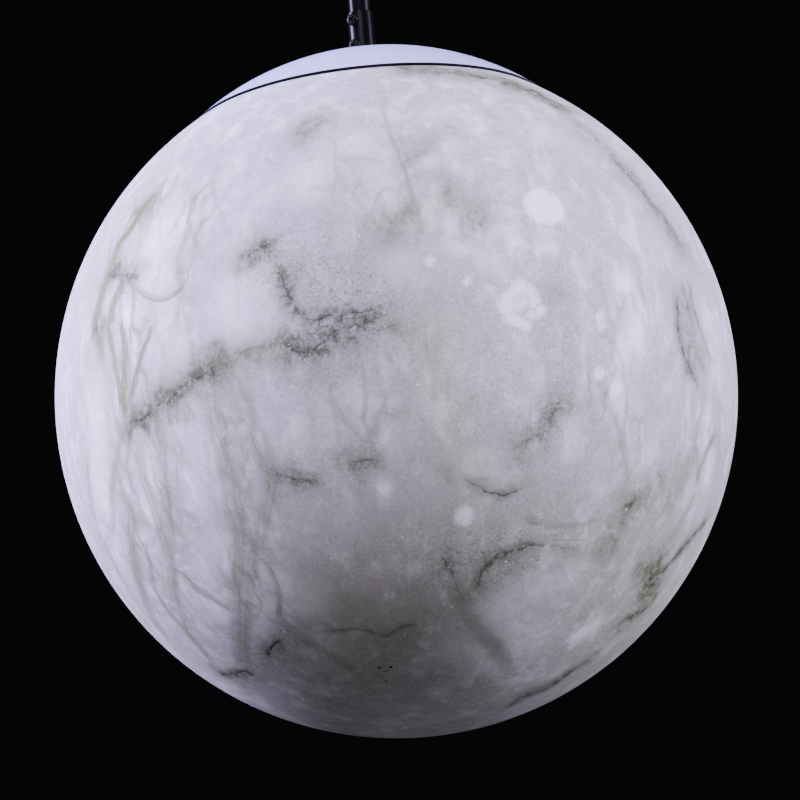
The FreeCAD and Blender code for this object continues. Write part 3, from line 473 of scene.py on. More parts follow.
def nearPath(spots, path):
    # distance to a path with its side as sign, and the share of the way along it
    best = np.full(len(spots), np.inf)
    side = np.ones(len(spots))
    share = np.zeros(len(spots))
    for number, (start, end) in enumerate(zip(path, path[1:])):
        run = end - start
        t = np.clip((spots - start) @ run / max(run @ run, 1e-9), 0, 1)
        gap = spots - start - t[:, None] * run
        distance = np.linalg.norm(gap, axis=1)
        closer = distance < best
        best[closer] = distance[closer]
        side[closer] = np.sign(np.cross(run, gap[closer]) @ (start / globeRadius))
        share[closer] = (number + t[closer]) / (len(path) - 1)
    return best, np.where(side < 0, -1.0, 1.0), share


def veinLayer(spots, veins, reach):
    # signed distance in mm, darkness and half width for each spot of the stone
    layer = np.zeros((len(spots), 3))
    layer[:, 0] = spreading["far"]
    layer[:, 2] = 1.0
    for half, dark, points in veins.values():
        for path, share in zip(onStone(points), spreading["shares"]):
            path = smoothPath(path)
            middle = (path.max(axis=0) + path.min(axis=0)) / 2
            span = np.linalg.norm(path - middle, axis=1).max() + reach
            near = np.nonzero(np.linalg.norm(spots - middle, axis=1) < span)[0]
            distance, side, along = nearPath(spots[near], path)
            fade = np.clip(1 - distance / reach, 0, 1)
            taper = np.clip(np.minimum(along, 1 - along) / spreading["taper"], 0, 1) ** spreading["taperCurve"]
            win = distance < np.abs(layer[near, 0])
            layer[near[win], 0] = (distance * side)[win]
            layer[near[win], 1] = (dark * share * taper * np.minimum(1, fade * spreading["fade"]))[win]
            layer[near[win], 2] = half
    return layer


def stainLayer(spots, stains):
    # how strong the stains are at each spot, softest at their edges
    amount = np.zeros(len(spots))
    for radius, strength, points in stains:
        for path, share in zip(onStone(points), spreading["shares"]):
            path = smoothPath(path, 4)
            middle = (path.max(axis=0) + path.min(axis=0)) / 2
            span = np.linalg.norm(path - middle, axis=1).max() + spreading["stainReach"] * radius
            near = np.nonzero(np.linalg.norm(spots - middle, axis=1) < span)[0]
            distance = nearPath(spots[near], path)[0]
            amount[near] = np.maximum(amount[near], strength * share * np.exp(-(distance / radius) ** 2))
    return amount


def spotLayer(spots, marks):
    # how far inside a white inclusion each spot lies, in mm
    inside = np.full(len(spots), spreading["outside"])
    for x, y, radius in marks:
        for centre in onStone([(x, y)]):
            inside = np.maximum(inside, radius * pxToMm - np.linalg.norm(spots - centre, axis=1))
    return inside


def warped(spots, sizeMm, amount):
    # each spot moved a little, so that the marks run unevenly
    shifts = [noise.noise_vector(Vector(spot) / sizeMm) for spot in spots]
    return spots + np.array(shifts) * amount


def makeGlobe(material):
    settings = {"wall": 10.0, "mouth": 58.0, "seat": 65.0, "seatEdge": 0.5, "mouthEdge": 0.6, "steps": 360,
                "rows": 205, "innerRows": 24}
    # size and shift of each wave, and the seed that gives the same waves at each run
    waves = {"slow": (22.0, 1.4), "quick": (7.0, 0.7), "ragged": (8.0, 4.5), "seed": 43}
    reach = {"crack": 12.0, "strand": 9.0}
    inner = globeRadius - settings["wall"]
    seatHeight = math.sqrt(globeRadius ** 2 - settings["seat"] ** 2)
    seatAngle = math.degrees(math.asin(seatHeight / globeRadius))
    mouthAngle = math.degrees(math.acos(settings["mouth"] / inner))
    profile = arcPoints((0, 0), globeRadius, -90, seatAngle - 0.25, settings["rows"])
    profile += [(settings["seat"] - settings["seatEdge"], seatHeight)]
    profile += [(settings["mouth"] + settings["mouthEdge"], seatHeight)]
    profile += [(settings["mouth"], seatHeight - settings["mouthEdge"])]
    profile += arcPoints((0, 0), inner, mouthAngle, -90, settings["innerRows"])
    profile = [(max(radius, 0.0), height + globeHeight) for radius, height in profile]
    piece = addPiece("globeStone", lathe(profile, settings["steps"]), material, "pendant", "alabaster", "globe_shade")
    mesh = piece.data
    coords = np.zeros(len(mesh.vertices) * 3)
    mesh.vertices.foreach_get("co", coords)
    spots = coords.reshape(-1, 3) / mm - np.array([0, 0, globeHeight])
    spots *= (globeRadius / np.linalg.norm(spots, axis=1))[:, None]
    noise.seed_set(waves["seed"])
    wavy = warped(warped(spots, *waves["slow"]), *waves["quick"])
    ragged = warped(wavy, *waves["ragged"])
    layers = {
        "crackVeins": veinLayer(wavy, crackVeins, reach["crack"]),
        "strandVeinsA": veinLayer(wavy, strandVeinsA, reach["strand"]),
        "strandVeinsB": veinLayer(wavy, strandVeinsB, reach["strand"]),
        "strandVeinsC": veinLayer(wavy, strandVeinsC, reach["strand"]),
        "stains": np.stack([stainLayer(ragged, greyStainsAndShade), stainLayer(wavy, brownStainsAndShade),
                            spotLayer(wavy, whiteSpots)], axis=1),
        "zones": np.stack([stainLayer(ragged, grainZones), stainLayer(wavy, paleClouds),
                           stainLayer(wavy, netZones)], axis=1),
    }
    for name, values in layers.items():
        layer = mesh.attributes.new(name, "FLOAT_VECTOR", "POINT")
        layer.data.foreach_set("vector", values.astype(np.float32).ravel())
    warmth = mesh.attributes.new("warmth", "FLOAT", "POINT")
    warmth.data.foreach_set("value", stainLayer(wavy, warmZones).astype(np.float32))


# alabaster: white crystalline stone with grey cracks, olive strands, granular stains and white inclusions
def makeAlabaster():
    material, tree, shader, place = newMaterial("alabaster")
    tones = {
        "white": linear("aaa8b6"), "cloud": linear("8b8a8d"), "strand": linear("606a43"),
        "smear": linear("646b50"), "pale": linear("ececff"),
        # the hole tone is the painted shade inside the pin holes
        "stain": linear("3d4237"), "crack": linear("26271b"), "brown": linear("524c42"), "hole": linear("050505"),
        "warm": linear("f9fbe4"),
    }
    # sizes of the patterns in mm
    sizes = {"wide": 60, "mid": 16, "small": 4.0, "grain": 1.0, "streak": 9, "filament": 1.7, "filamentRun": 26,
             "nudge": 12, "nudgeShift": 9, "lens": 13, "net": 11, "flake": 3.0, "flakeEdge": 4.5, "speck": 1.2,
             "face": 2.8}
    tall = {"streak": (1, 1, 0.22), "lens": (1, 1, 0.62), "net": (1, 1, 0.45)}  # drawn out along the stem
    warmFrom, warmTo = globeHeight + 30, globeHeight - 120
    relieved = {"strength": 0.35, "depth": 0.3}

    def layerOf(name):
        attribute = {"kind": "Attribute", "settings": {"attribute_name": name}, "output": "Vector"}
        return addNode(tree, splitVector, addNode(tree, attribute))

    def centred(value, amount):
        return addNode(tree, times, addNode(tree, minus, value, 0.5), amount)

    def product(*values):
        result = values[0]
        for value in values[1:]:
            result = addNode(tree, times, result, value)
        return result

    axes = addNode(tree, splitVector, place)

    def filaments(distance):
        # streaks that run along a vein: quick across it, slow along it
        across = addNode(tree, over, distance, sizes["filament"])
        slow = [addNode(tree, times, axes[number], 1 / (sizes["filamentRun"] * mm)) for number in (0, 2)]
        vector = addNode(tree, {"kind": "CombineXYZ", "output": 0}, across, *slow)
        return addNode(tree, mottle, vector, 1.0, 2.0)

    wide = addNode(tree, mottle, place, 1 / (sizes["wide"] * mm), 4.0)
    mid = addNode(tree, mottle, place, 1 / (sizes["mid"] * mm), 5.0, 0.6, 0.4)
    small = addNode(tree, mottle, place, 1 / (sizes["small"] * mm), 4.0, 0.65)
    grain = addNode(tree, mottle, place, 1 / (sizes["grain"] * mm), 2.0, 0.6)
    drawn = addNode(tree, stretched, place, tall["streak"])
    streak = addNode(tree, mottle, drawn, 1 / (sizes["streak"] * mm), 5.0, 0.6, 0.3)

    colour = addNode(tree, blend, addNode(tree, softStep, wide, 0.35, 0.68, 0.0, 0.5), tones["white"], tones["cloud"])
    colour = addNode(tree, blend, addNode(tree, softStep, mid, 0.50, 0.72, 0.0, 0.35), colour, tones["pale"])
    colour = addNode(tree, blend, addNode(tree, softStep, mid, 0.48, 0.25, 0.0, 0.55), colour, tones["cloud"])
    colour = addNode(tree, blend, addNode(tree, softStep, streak, 0.46, 0.26, 0.0, 0.22), colour, tones["strand"])
    colour = addNode(tree, blend, addNode(tree, softStep, streak, 0.52, 0.72, 0.0, 0.40), colour, tones["pale"])
    colour = addNode(tree, blend, addNode(tree, softStep, small, 0.50, 0.28, 0.0, 0.45), colour, tones["cloud"])
    colour = addNode(tree, blend, addNode(tree, softStep, small, 0.52, 0.74, 0.0, 0.15), colour, tones["pale"])
    colour = addNode(tree, blend, addNode(tree, softStep, grain, 0.50, 0.72, 0.0, 0.22), colour, tones["pale"])

    # pale lenses of purer stone, each with a soft edge
    crystal, pale, net = layerOf("zones")
    nudge = addNode(tree, {**mottle, "output": "Color"}, place, 1 / (sizes["nudge"] * mm), 2.0)
    nudge = addNode(tree, grown, addNode(tree, unshift, nudge, (0.5, 0.5, 0.5)), sizes["nudgeShift"] * mm)
    moved = addNode(tree, stretched, addNode(tree, shift, place, nudge), tall["lens"])
    lens = addNode(tree, cells, moved, 1 / (sizes["lens"] * mm))
    choice = addNode(tree, splitColour, lens["Color"])
    bright = product(addNode(tree, softStep, lens["Distance"], 0.12, 0.50, 1.0, 0.0),
                     addNode(tree, softStep, choice[0], 0.35, 0.95, 0.0, 0.6),
                     addNode(tree, softStep, net, 0.0, 0.8, 0.35, 1.0))
    colour = addNode(tree, blend, bright, colour, tones["pale"])
    pale = product(pale, addNode(tree, softStep, small, 0.3, 0.7, 0.7, 1.1))
    colour = addNode(tree, blend, pale, colour, tones["pale"])

    # net: thin threads round tall cells, thicker where the stone is cloudy
    cellEdge = addNode(tree, cellEdges, addNode(tree, stretched, moved, tall["net"]), 1 / (sizes["net"] * mm))
    thread = product(addNode(tree, softStep, cellEdge, 0.0, 0.16, 1.0, 0.0),
                     addNode(tree, softStep, mid, 0.35, 0.6, 0.35, 1.0), net)
    colour = addNode(tree, blend, thread, colour, tones["strand"])

    # strands: soft bands split into filaments
    for name in ("strandVeinsA", "strandVeinsB", "strandVeinsC"):
        distance, dark, half = layerOf(name)
        bent = addNode(tree, plus, distance, centred(mid, 2.0))
        ratio = addNode(tree, over, addNode(tree, unsigned, bent), half)
        band = addNode(tree, softStep, ratio, 0.5, 1.7, 1.0, 0.0)
        split = addNode(tree, softStep, filaments(distance), 0.3, 0.65, 0.6, 1.2)
        colour = addNode(tree, blend, product(band, dark, split, 1.1), colour, tones["strand"])

    # stains: grey clouds, browner where the second channel says so; a few near the cap's rim and the bottom are
    # partly painted shade
    grey, brown, inside = layerOf("stains")
    torn = addNode(tree, plus, product(mid, 0.55), product(small, 0.45))
    cloud = product(grey, addNode(tree, softStep, torn, 0.34, 0.62, 0.35, 1.2))
    flakes = addNode(tree, splitColour, addNode(tree, cells, moved, 1 / (sizes["flake"] * mm))["Color"])
    flakeTone = addNode(tree, softStep, flakes[1], 0.1, 0.9, 0.55, 1.05)
    grainy = addNode(tree, softStep, addNode(tree, plus, small, centred(grain, 0.5)), 0.25, 0.75, 0.5, 1.0)
    grainy = product(grainy, flakeTone)
    frayed = addNode(tree, plus, product(mid, 0.3), product(small, 0.7))
    smear = product(addNode(tree, power, grey, 0.55), addNode(tree, softStep, frayed, 0.34, 0.64, 0.5, 1.15))
    colour = addNode(tree, blend, smear, colour, tones["smear"])
    cloud = product(addNode(tree, softStep, cloud, 0.15, 1.1), grainy, 0.95)
    colour = addNode(tree, blend, cloud, colour, tones["stain"])
    brown = product(brown, addNode(tree, softStep, mid, 0.3, 0.7, 0.35, 0.8))
    colour = addNode(tree, blend, brown, colour, tones["brown"])

    # white inclusions with soft uneven edges
    edge = addNode(tree, plus, inside, addNode(tree, plus, centred(small, 3.0), centred(grain, 1.0)))
    colour = addNode(tree, blend, addNode(tree, softStep, edge, -1.8, 1.6, 0.0, 0.65), colour, tones["pale"])

    # cracks: a broken dark core in a grey halo
    distance, dark, half = layerOf("crackVeins")
    bent = addNode(tree, plus, distance, addNode(tree, plus, centred(small, 2.6), centred(mid, 2.4)))
    ratio = addNode(tree, over, addNode(tree, unsigned, bent), half)
    halo = product(addNode(tree, softStep, ratio, 0.0, 4.5, 0.75, 0.0), grainy, dark)
    core = product(addNode(tree, softStep, ratio, 0.05, 1.1, 1.0, 0.0),
                   addNode(tree, softStep, small, 0.36, 0.58, 0.3, 1.0), dark)
    colour = addNode(tree, blend, halo, colour, tones["stain"])
    colour = addNode(tree, blend, product(core, 0.7), colour, tones["crack"])

    # sugar grain: dark and bright crystals, strongest in the granular zones
    speck = addNode(tree, mottle, place, 1 / (sizes["speck"] * mm), 3.0, 0.6)
    darkSpeck = product(addNode(tree, softStep, speck, 0.50, 0.70), addNode(tree, plus, product(crystal, 0.75), 0.06))
    darkSpeck = product(darkSpeck, addNode(tree, softStep, small, 0.35, 0.6, 0.4, 1.0))
    paleSpeck = product(addNode(tree, softStep, speck, 0.46, 0.30), addNode(tree, plus, product(crystal, 0.10), 0.08))
    flakeEdge = addNode(tree, cellEdges, moved, 1 / (sizes["flakeEdge"] * mm))
    flakeEdge = product(addNode(tree, softStep, flakeEdge, 0.0, 0.13, 1.0, 0.0),
                        addNode(tree, softStep, small, 0.42, 0.6), crystal, 0.28)
    colour = addNode(tree, blend, addNode(tree, larger, darkSpeck, flakeEdge), colour, tones["stain"])
    colour = addNode(tree, blend, paleSpeck, colour, tones["pale"])

    # painted glints: a few crystal faces painted pale, and made a little glossier
    faces = addNode(tree, cells, place, 1 / (sizes["face"] * mm))
    pick = addNode(tree, splitColour, faces["Color"])[0]
    glint = product(addNode(tree, softStep, faces["Distance"], 0.10, 0.24, 1.0, 0.0),
                    addNode(tree, softStep, pick, 0.92, 0.98), addNode(tree, softStep, mid, 0.40, 0.55))
    colour = addNode(tree, blend, product(glint, 0.55), colour, tones["pale"])

    # warmer tint towards the bottom, and warmer stone in a few zones
    low = addNode(tree, softStep, axes[2], warmFrom * mm, warmTo * mm, 0.0, 1.0)
    warmth = addNode(tree, {"kind": "Attribute", "settings": {"attribute_name": "warmth"}, "output": "Fac"})
    colour = addNode(tree, shade, addNode(tree, larger, low, warmth), colour, tones["warm"])

    # pin holes near the bottom: shallow pits in the bump, painted near black inside as painted shade
    pitsAndShade = 0.0
    for x, y, radius in pinHoles:
        point = (onStone([(x, y)])[0][0] + np.array([0, 0, globeHeight])) * mm
        distance = addNode(tree, away, place, tuple(point))
        size = radius * pxToMm * mm
        pitsAndShade = addNode(tree, larger, addNode(tree, softStep, distance, size * 0.6, size * 1.2, 1.0, 0.0), pitsAndShade)
    colour = addNode(tree, blend, pitsAndShade, colour, tones["hole"])

    rough = addNode(tree, plus, addNode(tree, softStep, small, 0.3, 0.7, 0.48, 0.60), product(glint, -0.25))
    height = addNode(tree, minus, product(grain, 0.25), addNode(tree, larger, core, pitsAndShade))
    bump = addNode(tree, relief, height, relieved["strength"], relieved["depth"] * mm)
    tree.links.new(colour, shader.inputs["Base Color"])
    tree.links.new(rough, shader.inputs["Roughness"])
    tree.links.new(bump, shader.inputs["Normal"])
    shader.inputs["Specular IOR Level"].default_value = 0.08
    shader.inputs["Subsurface Weight"].default_value = 0.06
    shader.inputs["Subsurface Radius"].default_value = (1.0, 0.9, 0.85)
    shader.inputs["Subsurface Scale"].default_value = 2.0 * mm
    return material


# other finishes: a base colour that drifts a little, uneven gloss and a faint surface texture.
# The drift is eight times as coarse as the texture, and an edge gives two heights and the colour below them.
def makeFinish(name, main, drift, sizeMm, rough, metal=0.0, bump=0.1, coat=0.0, stretch=(1, 1, 1), sheen=0.5,
               edge=None):
    material, tree, shader, place = newMaterial(name)
    if stretch != (1, 1, 1):
        place = addNode(tree, stretched, place, stretch)
    slow = addNode(tree, mottle, place, 1 / ((sizeMm * 8) * mm), 3.0)
    fine = addNode(tree, mottle, place, 1 / (sizeMm * mm), 3.0, 0.6)
    colour = addNode(tree, blend, addNode(tree, softStep, slow, 0.3, 0.7), linear(main), linear(drift))
    if edge:
        # painted shade: below the edge heights the colour fades to the edge colour, a dark band for the shadow under
        # a rim
        height = addNode(tree, splitVector, place)[2]
        rimShade = addNode(tree, softStep, height, edge[0] * mm, edge[1] * mm, 1.0, 0.0)
        colour = addNode(tree, blend, rimShade, colour, linear(edge[2]))
    gloss = addNode(tree, softStep, addNode(tree, times, addNode(tree, plus, slow, fine), 0.5), 0.3, 0.7, *rough)
    grit = addNode(tree, relief, fine, bump, 0.05 * mm)
    tree.links.new(colour, shader.inputs["Base Color"])
    tree.links.new(gloss, shader.inputs["Roughness"])
    tree.links.new(grit, shader.inputs["Normal"])
    shader.inputs["Metallic"].default_value = metal
    shader.inputs["Specular IOR Level"].default_value = sheen
    shader.inputs["Coat Weight"].default_value = coat
    shader.inputs["Coat Roughness"].default_value = 0.08
    return material


finishes = {
    "alabaster": makeAlabaster(),
    # sprayed satin white on the spun cap; its lowest edge is painted near black, painted shade of the gap between the
    # cap and the stone
    "white_lacquer": makeFinish("whiteLacquer", "b4b7ec", "aeb1e6", 1.6, (0.28, 0.36), bump=0.05, coat=0.15,
                                edge=(-263.85, -263.65, "0b0b0c")),
    # gloss black on the stem and the ceiling end
    "black_lacquer": makeFinish("blackLacquer", "060607", "09090a", 1.2, (0.22, 0.28), bump=0.02, sheen=0.03),
    # blackened steel screws
    "black_oxide": makeFinish("blackOxide", "060607", "0a0a0b", 0.8, (0.28, 0.4), bump=0.1, sheen=0.05),
    # zinc plated strap, nuts and washers, faintly brushed
    "zinc_plate": makeFinish("zincPlate", "b9bab6", "c6c5bd", 1.0, (0.28, 0.42), metal=1.0, stretch=(1, 5, 1)),
    # turned brass bush, terminals and contacts: a warm metal with fine rings
    "brass": makeFinish("turnedBrass", "c39a4a", "b58b3e", 0.9, (0.2, 0.34), metal=1.0, stretch=(1, 1, 6)),
    # moulded rubber seals: black without shine
    "black_rubber": makeFinish("blackRubber", "141414", "1b1a1a", 0.7, (0.7, 0.85), bump=0.3),
    # pressed phenolic lampholder: near black with a dull gloss
    "phenolic": makeFinish("phenolic", "191715", "211e1b", 1.5, (0.25, 0.4), bump=0.08),
    # unglazed porcelain insert: warm white and matt
    "porcelain": makeFinish("porcelain", "e0ddd2", "d6d1c4", 1.0, (0.45, 0.6), bump=0.2),
    # moulded nylon block: milky white, half matt
    "terminal_nylon": makeFinish("terminalNylon", "dddcd6", "d2d0c8", 1.2, (0.4, 0.55), bump=0.1),
    # extruded sheath of the lead: dark grey and matt
    "flex_sheath": makeFinish("flexSheath", "1c1c1d", "262627", 1.0, (0.5, 0.65), bump=0.2),
    # rolled aluminium of the lamp's screw base: pale metal with rings
    "lamp_cap": makeFinish("lampCap", "c9c9c7", "b8b8b6", 0.9, (0.3, 0.45), metal=1.0, stretch=(1, 1, 6)),
    # glossy white housing of the lamp
    "lamp_plastic": makeFinish("lampPlastic", "e8e8e4", "dededa", 1.4, (0.3, 0.42), bump=0.05),
    # frosted opal dome of the lamp: white and soft
    "lamp_opal": makeFinish("lampOpal", "f0f0ec", "e6e6e1", 1.4, (0.5, 0.6), bump=0.1),
}
print("finishes made")

makeGlobe(finishes["alabaster"])
print("stone globe made")


# cap: a spun dome with a rolled edge, and the black ring under it
def makeCap():
    settings = {"dome": 127.3, "rise": 28.98, "sheet": 0.6, "rim": 80.6, "rimEdge": 0.05, "lip": 79.62, "land": 11.0,
                "hole": 6.1, "steps": 192, "rows": 64, "innerRows": 32}
    domeHeight = globeHeight + settings["rise"]
    outer = settings["dome"]
    inner = outer - settings["sheet"]
    rimAngle = math.degrees(math.acos(settings["rim"] / outer))
    landAngle = math.degrees(math.acos(settings["land"] / outer))
    landHeight = domeHeight + outer * math.sin(math.radians(landAngle))
    lipAngle = math.degrees(math.acos(settings["lip"] / inner))
    profile = [(settings["hole"], landHeight)]
    profile += arcPoints((0, domeHeight), outer, landAngle, rimAngle + 0.06, settings["rows"])
    profile += [(settings["rim"] - settings["rimEdge"], domeHeight + outer * math.sin(math.radians(rimAngle)))]
    profile += arcPoints((0, domeHeight), inner, lipAngle, landAngle, settings["innerRows"])
    profile += [(settings["hole"], landHeight - settings["sheet"])]
    addPiece("globeCap", lathe(profile, settings["steps"], True), finishes["white_lacquer"], "cap", "white_lacquer",
             "globe_cap")

    ring = {"inner": 59.5, "outer": 63.5, "foot": globeHeight + 135.19, "gap": 0.05, "edge": 0.4, "steps": 144}
    tops = [domeHeight + math.sqrt((inner - ring["gap"]) ** 2 - ring[side] ** 2) for side in ("outer", "inner")]
    section = roundedBar([(ring["inner"], ring["foot"]), (ring["outer"], ring["foot"]), (ring["outer"], tops[0]),
                          (ring["inner"], tops[1])], ring["edge"])
    addPiece("capGasket", lathe(section, ring["steps"], True), finishes["black_rubber"], "cap", "black_rubber",
             "cap_gasket")


makeCap()


# stem: tube, sleeve with its collar, and screws with crossed recesses
def makeStem():
    tube = {"outer": 5.0, "inner": 4.0, "top": -72.2, "foot": -318.81, "edge": 0.3, "steps": 64}
    section = roundedBar([(tube["inner"], tube["foot"]), (tube["outer"], tube["foot"]), (tube["outer"], tube["top"]),
                          (tube["inner"], tube["top"])], tube["edge"])
    addPiece("stemTube", lathe(section, tube["steps"], True), finishes["black_lacquer"], "pendant", "black_lacquer",
             "stem_tube")

    sleeve = {"bore": 5.1, "outer": 6.0, "collar": 9.5, "collarHeight": 3.0, "land": -236.4, "top": -214.2,
              "foot": -244.7, "edge": 0.35, "steps": 72}
    collarTop = sleeve["land"] + sleeve["collarHeight"]
    section = roundedBar([
        (sleeve["bore"], sleeve["foot"]), (sleeve["outer"], sleeve["foot"]), (sleeve["outer"], sleeve["land"]),
        (sleeve["collar"], sleeve["land"]), (sleeve["collar"], collarTop), (sleeve["outer"], collarTop),
        (sleeve["outer"], sleeve["top"]), (sleeve["bore"], sleeve["top"]),
    ], sleeve["edge"])
    addPiece("capSleeve", lathe(section, sleeve["steps"], True), finishes["black_lacquer"], "cap", "black_lacquer",
             "cap_sleeve")


def panHead(screw):
    # a screw along Z with a rounded head above zero and a crossed recess
    radius, height, shank, shankRadius = [screw[key] for key in ("radius", "height", "shank", "shankRadius")]
    rim = height * 0.5
    profile = [(0, -shank), (shankRadius, -shank), (shankRadius, 0), (radius, 0)]
    profile += arcPoints((radius - rim, height - rim), rim, 0, 90, 7) + [(0, height)]
    bm = lathe(profile, 32)
    for normal in ((1, 0, 0), (0, 1, 0)):
        for offset in (-screw["arm"], -screw["half"], screw["half"], screw["arm"]):
            geom = bm.verts[:] + bm.edges[:] + bm.faces[:]
            point = Vector(normal) * offset * mm + Vector((0, 0, height * mm))
            bmesh.ops.bisect_plane(bm, geom=geom, plane_co=point, plane_no=normal)
    half, far, top = screw["half"] * mm, screw["arm"] * mm, height * mm
    floor = []
    for face in bm.faces:
        middle = face.calc_center_median()
        inArm = min(abs(middle.x), abs(middle.y)) < half and max(abs(middle.x), abs(middle.y)) < far
        if inArm and middle.z > top - 0.02 * mm and face.normal.z > 0.9:
            floor.append(face)
    sunk = bmesh.ops.extrude_face_region(bm, geom=floor)
    moved = [item for item in sunk["geom"] if isinstance(item, bmesh.types.BMVert)]
    bmesh.ops.translate(bm, verts=moved, vec=(0, 0, -screw["deep"] * mm))
    bmesh.ops.delete(bm, geom=floor, context="FACES_ONLY")
    bmesh.ops.recalc_face_normals(bm, faces=bm.faces)
    return bm


def makeScrews():
    sleeve = {"azimuth": 33, "outer": 6.0, "heights": (6.0, 18.0), "land": -236.4}
    small = {"radius": 2.8, "height": 2.0, "shank": 0.8, "shankRadius": 1.5, "half": 0.38, "arm": 1.5, "deep": 0.9}
    bm = bmesh.new()
    for rise in sleeve["heights"]:
        stand = Matrix.Translation((0, -sleeve["outer"] * mm, (sleeve["land"] + rise) * mm))
        turn = Matrix.Rotation(math.radians(90), 4, "X") @ Matrix.Rotation(rise, 4, "Z")
        joinInto(bm, panHead(small), Matrix.Rotation(-math.radians(sleeve["azimuth"]), 4, "Z") @ stand @ turn)
    addPiece("sleeveScrews", bm, finishes["black_oxide"], "cap", "black_oxide", "sleeve_screws", sharp=30)

    pivot = {"face": 12.3, "height": -60.2, "turn": 0.6}
    large = {"radius": 3.6, "height": 2.2, "shank": 8.0, "shankRadius": 2.0, "half": 0.45, "arm": 1.9, "deep": 1.0}
    bm = bmesh.new()
    for side in (-1, 1):
        stand = Matrix.Translation((0, pivot["face"] * side * mm, pivot["height"] * mm))
        turn = Matrix.Rotation(math.radians(-90 * side), 4, "X") @ Matrix.Rotation(pivot["turn"] * side, 4, "Z")
        joinInto(bm, panHead(large), stand @ turn)
    addPiece("pivotScrews", bm, finishes["black_oxide"], "swivel", "black_oxide", "pivot_screws", sharp=30)


makeStem()
makeScrews()
print("cap and stem made")


# ceiling end: canopy cup, its dome nuts, the swivel fork and the knuckle
def makeCeilingEnd():
    cup = {"radius": 60.0, "depth": 44.0, "edge": 10.0, "rim": 0.4, "sheet": 1.2, "hole": 6.0, "steps": 144}
    corner = cup["radius"] - cup["edge"]
    cornerHeight = cup["edge"] - cup["depth"]
    profile = [(cup["hole"], -cup["depth"])]
    profile += arcPoints((corner, cornerHeight), cup["edge"], -90, 0, 16)
    profile += [(cup["radius"], -cup["rim"]), (cup["radius"] - cup["rim"], 0), (cup["radius"] - cup["sheet"], 0)]
    profile += arcPoints((corner, cornerHeight), cup["edge"] - cup["sheet"], 0, -90, 10)
    profile += [(cup["hole"], cup["sheet"] - cup["depth"])]
    addPiece("canopyCup", lathe(profile, cup["steps"], True), finishes["black_lacquer"], "ceiling", "black_lacquer",
             "canopy")

    nut = {"radius": 4.5, "skirt": 4.0, "crown": 4.0, "bore": 2.05, "blind": 6.0, "edge": 0.3, "across": 25.0,
           "steps": 40}
    crown = (nut["radius"] ** 2 + nut["crown"] ** 2) / (2 * nut["crown"])
    crownHeight = -nut["skirt"] - nut["crown"] + crown
    start = math.degrees(math.asin((-nut["skirt"] - crownHeight) / crown))
    profile = [(0, -nut["blind"]), (nut["bore"], -nut["blind"]), (nut["bore"], 0),
               (nut["radius"] - nut["edge"], 0), (nut["radius"], -nut["edge"])]
    profile += arcPoints((0, crownHeight), crown, start, -90, 12)
    bm = bmesh.new()
    for side in (-1, 1):
        place = Matrix.Translation((nut["across"] * side * mm, 0, -cup["depth"] * mm))
        joinInto(bm, lathe(profile, nut["steps"]), place)
    addPiece("canopyNuts", bm, finishes["black_lacquer"], "ceiling", "black_lacquer", "canopy_nuts")

    knuckle = {"radius": 8.0, "bore": 3.6, "boreEdge": 0.3, "boreTop": 6.9, "socket": 5.05, "socketTop": -72.2,
               "foot": -84.2, "footEdge": 0.6, "pivot": -60.2, "steps": 64}
    topAngle = math.degrees(math.acos((knuckle["bore"] + knuckle["boreEdge"]) / knuckle["radius"]))
    profile = arcPoints((0, knuckle["pivot"]), knuckle["radius"], 0, topAngle, 16)
    profile += [(knuckle["bore"], knuckle["pivot"] + knuckle["boreTop"]), (knuckle["bore"], knuckle["socketTop"])]
    profile += [(knuckle["socket"], knuckle["socketTop"]), (knuckle["socket"], knuckle["foot"])]
    profile += [(knuckle["radius"] - knuckle["footEdge"], knuckle["foot"])]
    profile += [(knuckle["radius"], knuckle["foot"] + knuckle["footEdge"])]
    addPiece("stemKnuckle", lathe(profile, knuckle["steps"], True), finishes["black_lacquer"], "pendant",
             "black_lacquer", "stem_knuckle")


def makeFork():
    hub = {"radius": 15.0, "top": -44.5, "foot": -51.5, "stud": 5.0, "studTop": -16.8, "bore": 3.6, "edge": 0.6,
           "steps": 96}
    cheek = {"inside": 8.3, "outside": 12.3, "half": 7.0, "pivot": -60.2, "root": 0.3, "edge": 0.5}
    section = roundedBar([
        (hub["bore"], hub["foot"]), (hub["radius"], hub["foot"]), (hub["radius"], hub["top"]),
        (hub["stud"], hub["top"]), (hub["stud"], hub["studTop"]), (hub["bore"], hub["studTop"]),
    ], hub["edge"])
    bm = lathe(section, hub["steps"], True)
    for side in (-1, 1):
        plate = bmesh.new()
        outline = [(cheek["half"], hub["foot"] + cheek["root"])]
        outline += arcPoints((0, cheek["pivot"]), cheek["half"], 0, -180, 24)
        outline += [(-cheek["half"], hub["foot"] + cheek["root"])]
        verts = [plate.verts.new((x * mm, cheek["inside"] * mm, z * mm)) for x, z in outline]
        face = plate.faces.new(verts)
        thickened = bmesh.ops.extrude_face_region(plate, geom=[face])
        far = [item for item in thickened["geom"] if isinstance(item, bmesh.types.BMVert)]
        bmesh.ops.translate(plate, verts=far, vec=(0, (cheek["outside"] - cheek["inside"]) * mm, 0))
        bmesh.ops.recalc_face_normals(plate, faces=plate.faces)
        rims = [edge for edge in plate.edges if edge.calc_face_angle(0) > math.radians(60)]
        bmesh.ops.bevel(plate, geom=rims, offset=cheek["edge"] * mm, offset_type="OFFSET", segments=3, profile=0.5,
                        affect="EDGES", material=-1)
        joinInto(bm, plate, Matrix.Rotation(math.pi if side < 0 else 0, 4, "Z"))
    addPiece("swivelFork", bm, finishes["black_lacquer"], "swivel", "black_lacquer", "swivel_fork", sharp=30)


makeCeilingEnd()
makeFork()
print("ceiling end made")

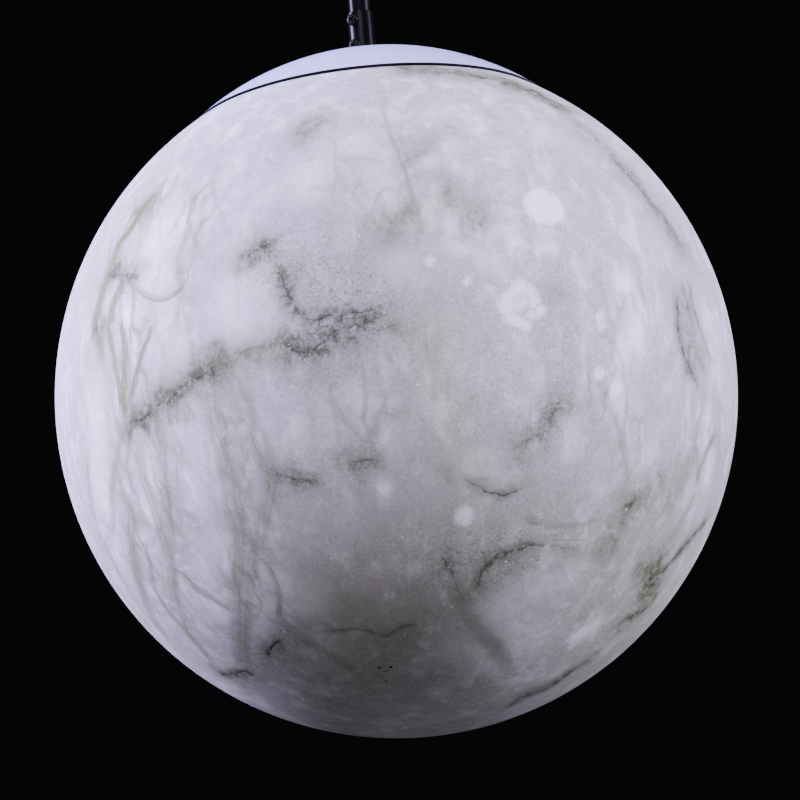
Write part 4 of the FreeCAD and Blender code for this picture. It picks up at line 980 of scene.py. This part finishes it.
# the remaining nodes keep their solids, each in the finish of its slot
slotOf = {row["node"]: row["material_slot"] for row in frame["record"]["subparts"]}
for node, objects in frame["nodes"].items():
    for thing in objects if isinstance(objects, (list, tuple)) else [objects]:
        thing.data.materials.clear()
        thing.data.materials.append(finishes[slotOf[node]])
print("inner pieces finished")


# studio: soft lights at the left, the right and above the viewer, a weak one below, and a pale floor far down
def addLight(name, azimuth, elevation, distance, size, watts, tint, spread):
    data = bpy.data.lights.new(name, "AREA")
    data.shape = "RECTANGLE"
    data.size, data.size_y = size
    data.energy = watts
    data.color = tint
    data.spread = math.radians(spread)
    light = bpy.data.objects.new(name, data)
    turn, lift = math.radians(azimuth), math.radians(elevation)
    outward = Vector((math.sin(turn) * math.cos(lift), -math.cos(turn) * math.cos(lift), math.sin(lift)))
    light.location = Vector((0, 0, globeHeight * mm)) + outward * distance
    light.rotation_euler = outward.to_track_quat("Z", "Y").to_euler()
    light.visible_camera = False
    bpy.context.collection.objects.link(light)


# azimuth from the viewer and elevation in degrees, distance and size in metres, watts, tint, spread in degrees
studioLights = {
    "leftSoft": (-97, 22, 2.2, (0.9, 1.2), 40.0, (0.63, 0.58, 1.0), 50),
    "frontSoft": (-8, 40, 2.4, (1.3, 0.9), 12.5, (0.87, 0.755, 1.0), 50),
    "rightSoft": (80, 13, 2.2, (0.9, 1.2), 16.0, (0.83, 0.74, 1.0), 50),
    "lowFill": (-4, -20, 2.4, (1.2, 0.8), 0.78, (0.93, 0.95, 0.85), 60),
}
for lightName, row in studioLights.items():
    addLight(lightName, *row)


def addStudio():
    settings = {"gloom": (0.003, 0.003, 0.0036, 1.0), "radius": 9.0, "height": -2.1, "steps": 96}  # in metres
    world = bpy.data.worlds.new("studio")
    world.use_nodes = True
    world.node_tree.nodes["Background"].inputs[0].default_value = settings["gloom"]
    bpy.context.scene.world = world
    bm = bmesh.new()
    bmesh.ops.create_circle(bm, cap_ends=True, segments=settings["steps"], radius=settings["radius"])
    bmesh.ops.translate(bm, verts=bm.verts, vec=(0, 0, settings["height"]))
    mesh = bpy.data.meshes.new("paleFloor")
    bm.to_mesh(mesh)
    bm.free()
    mesh.materials.append(makeFinish("palePaper", "d9d8d4", "d2d1cc", 20.0, (0.7, 0.8), bump=0.02))
    floor = bpy.data.objects.new("paleFloor", mesh)
    bpy.context.collection.objects.link(floor)


addStudio()
print("studio lit")
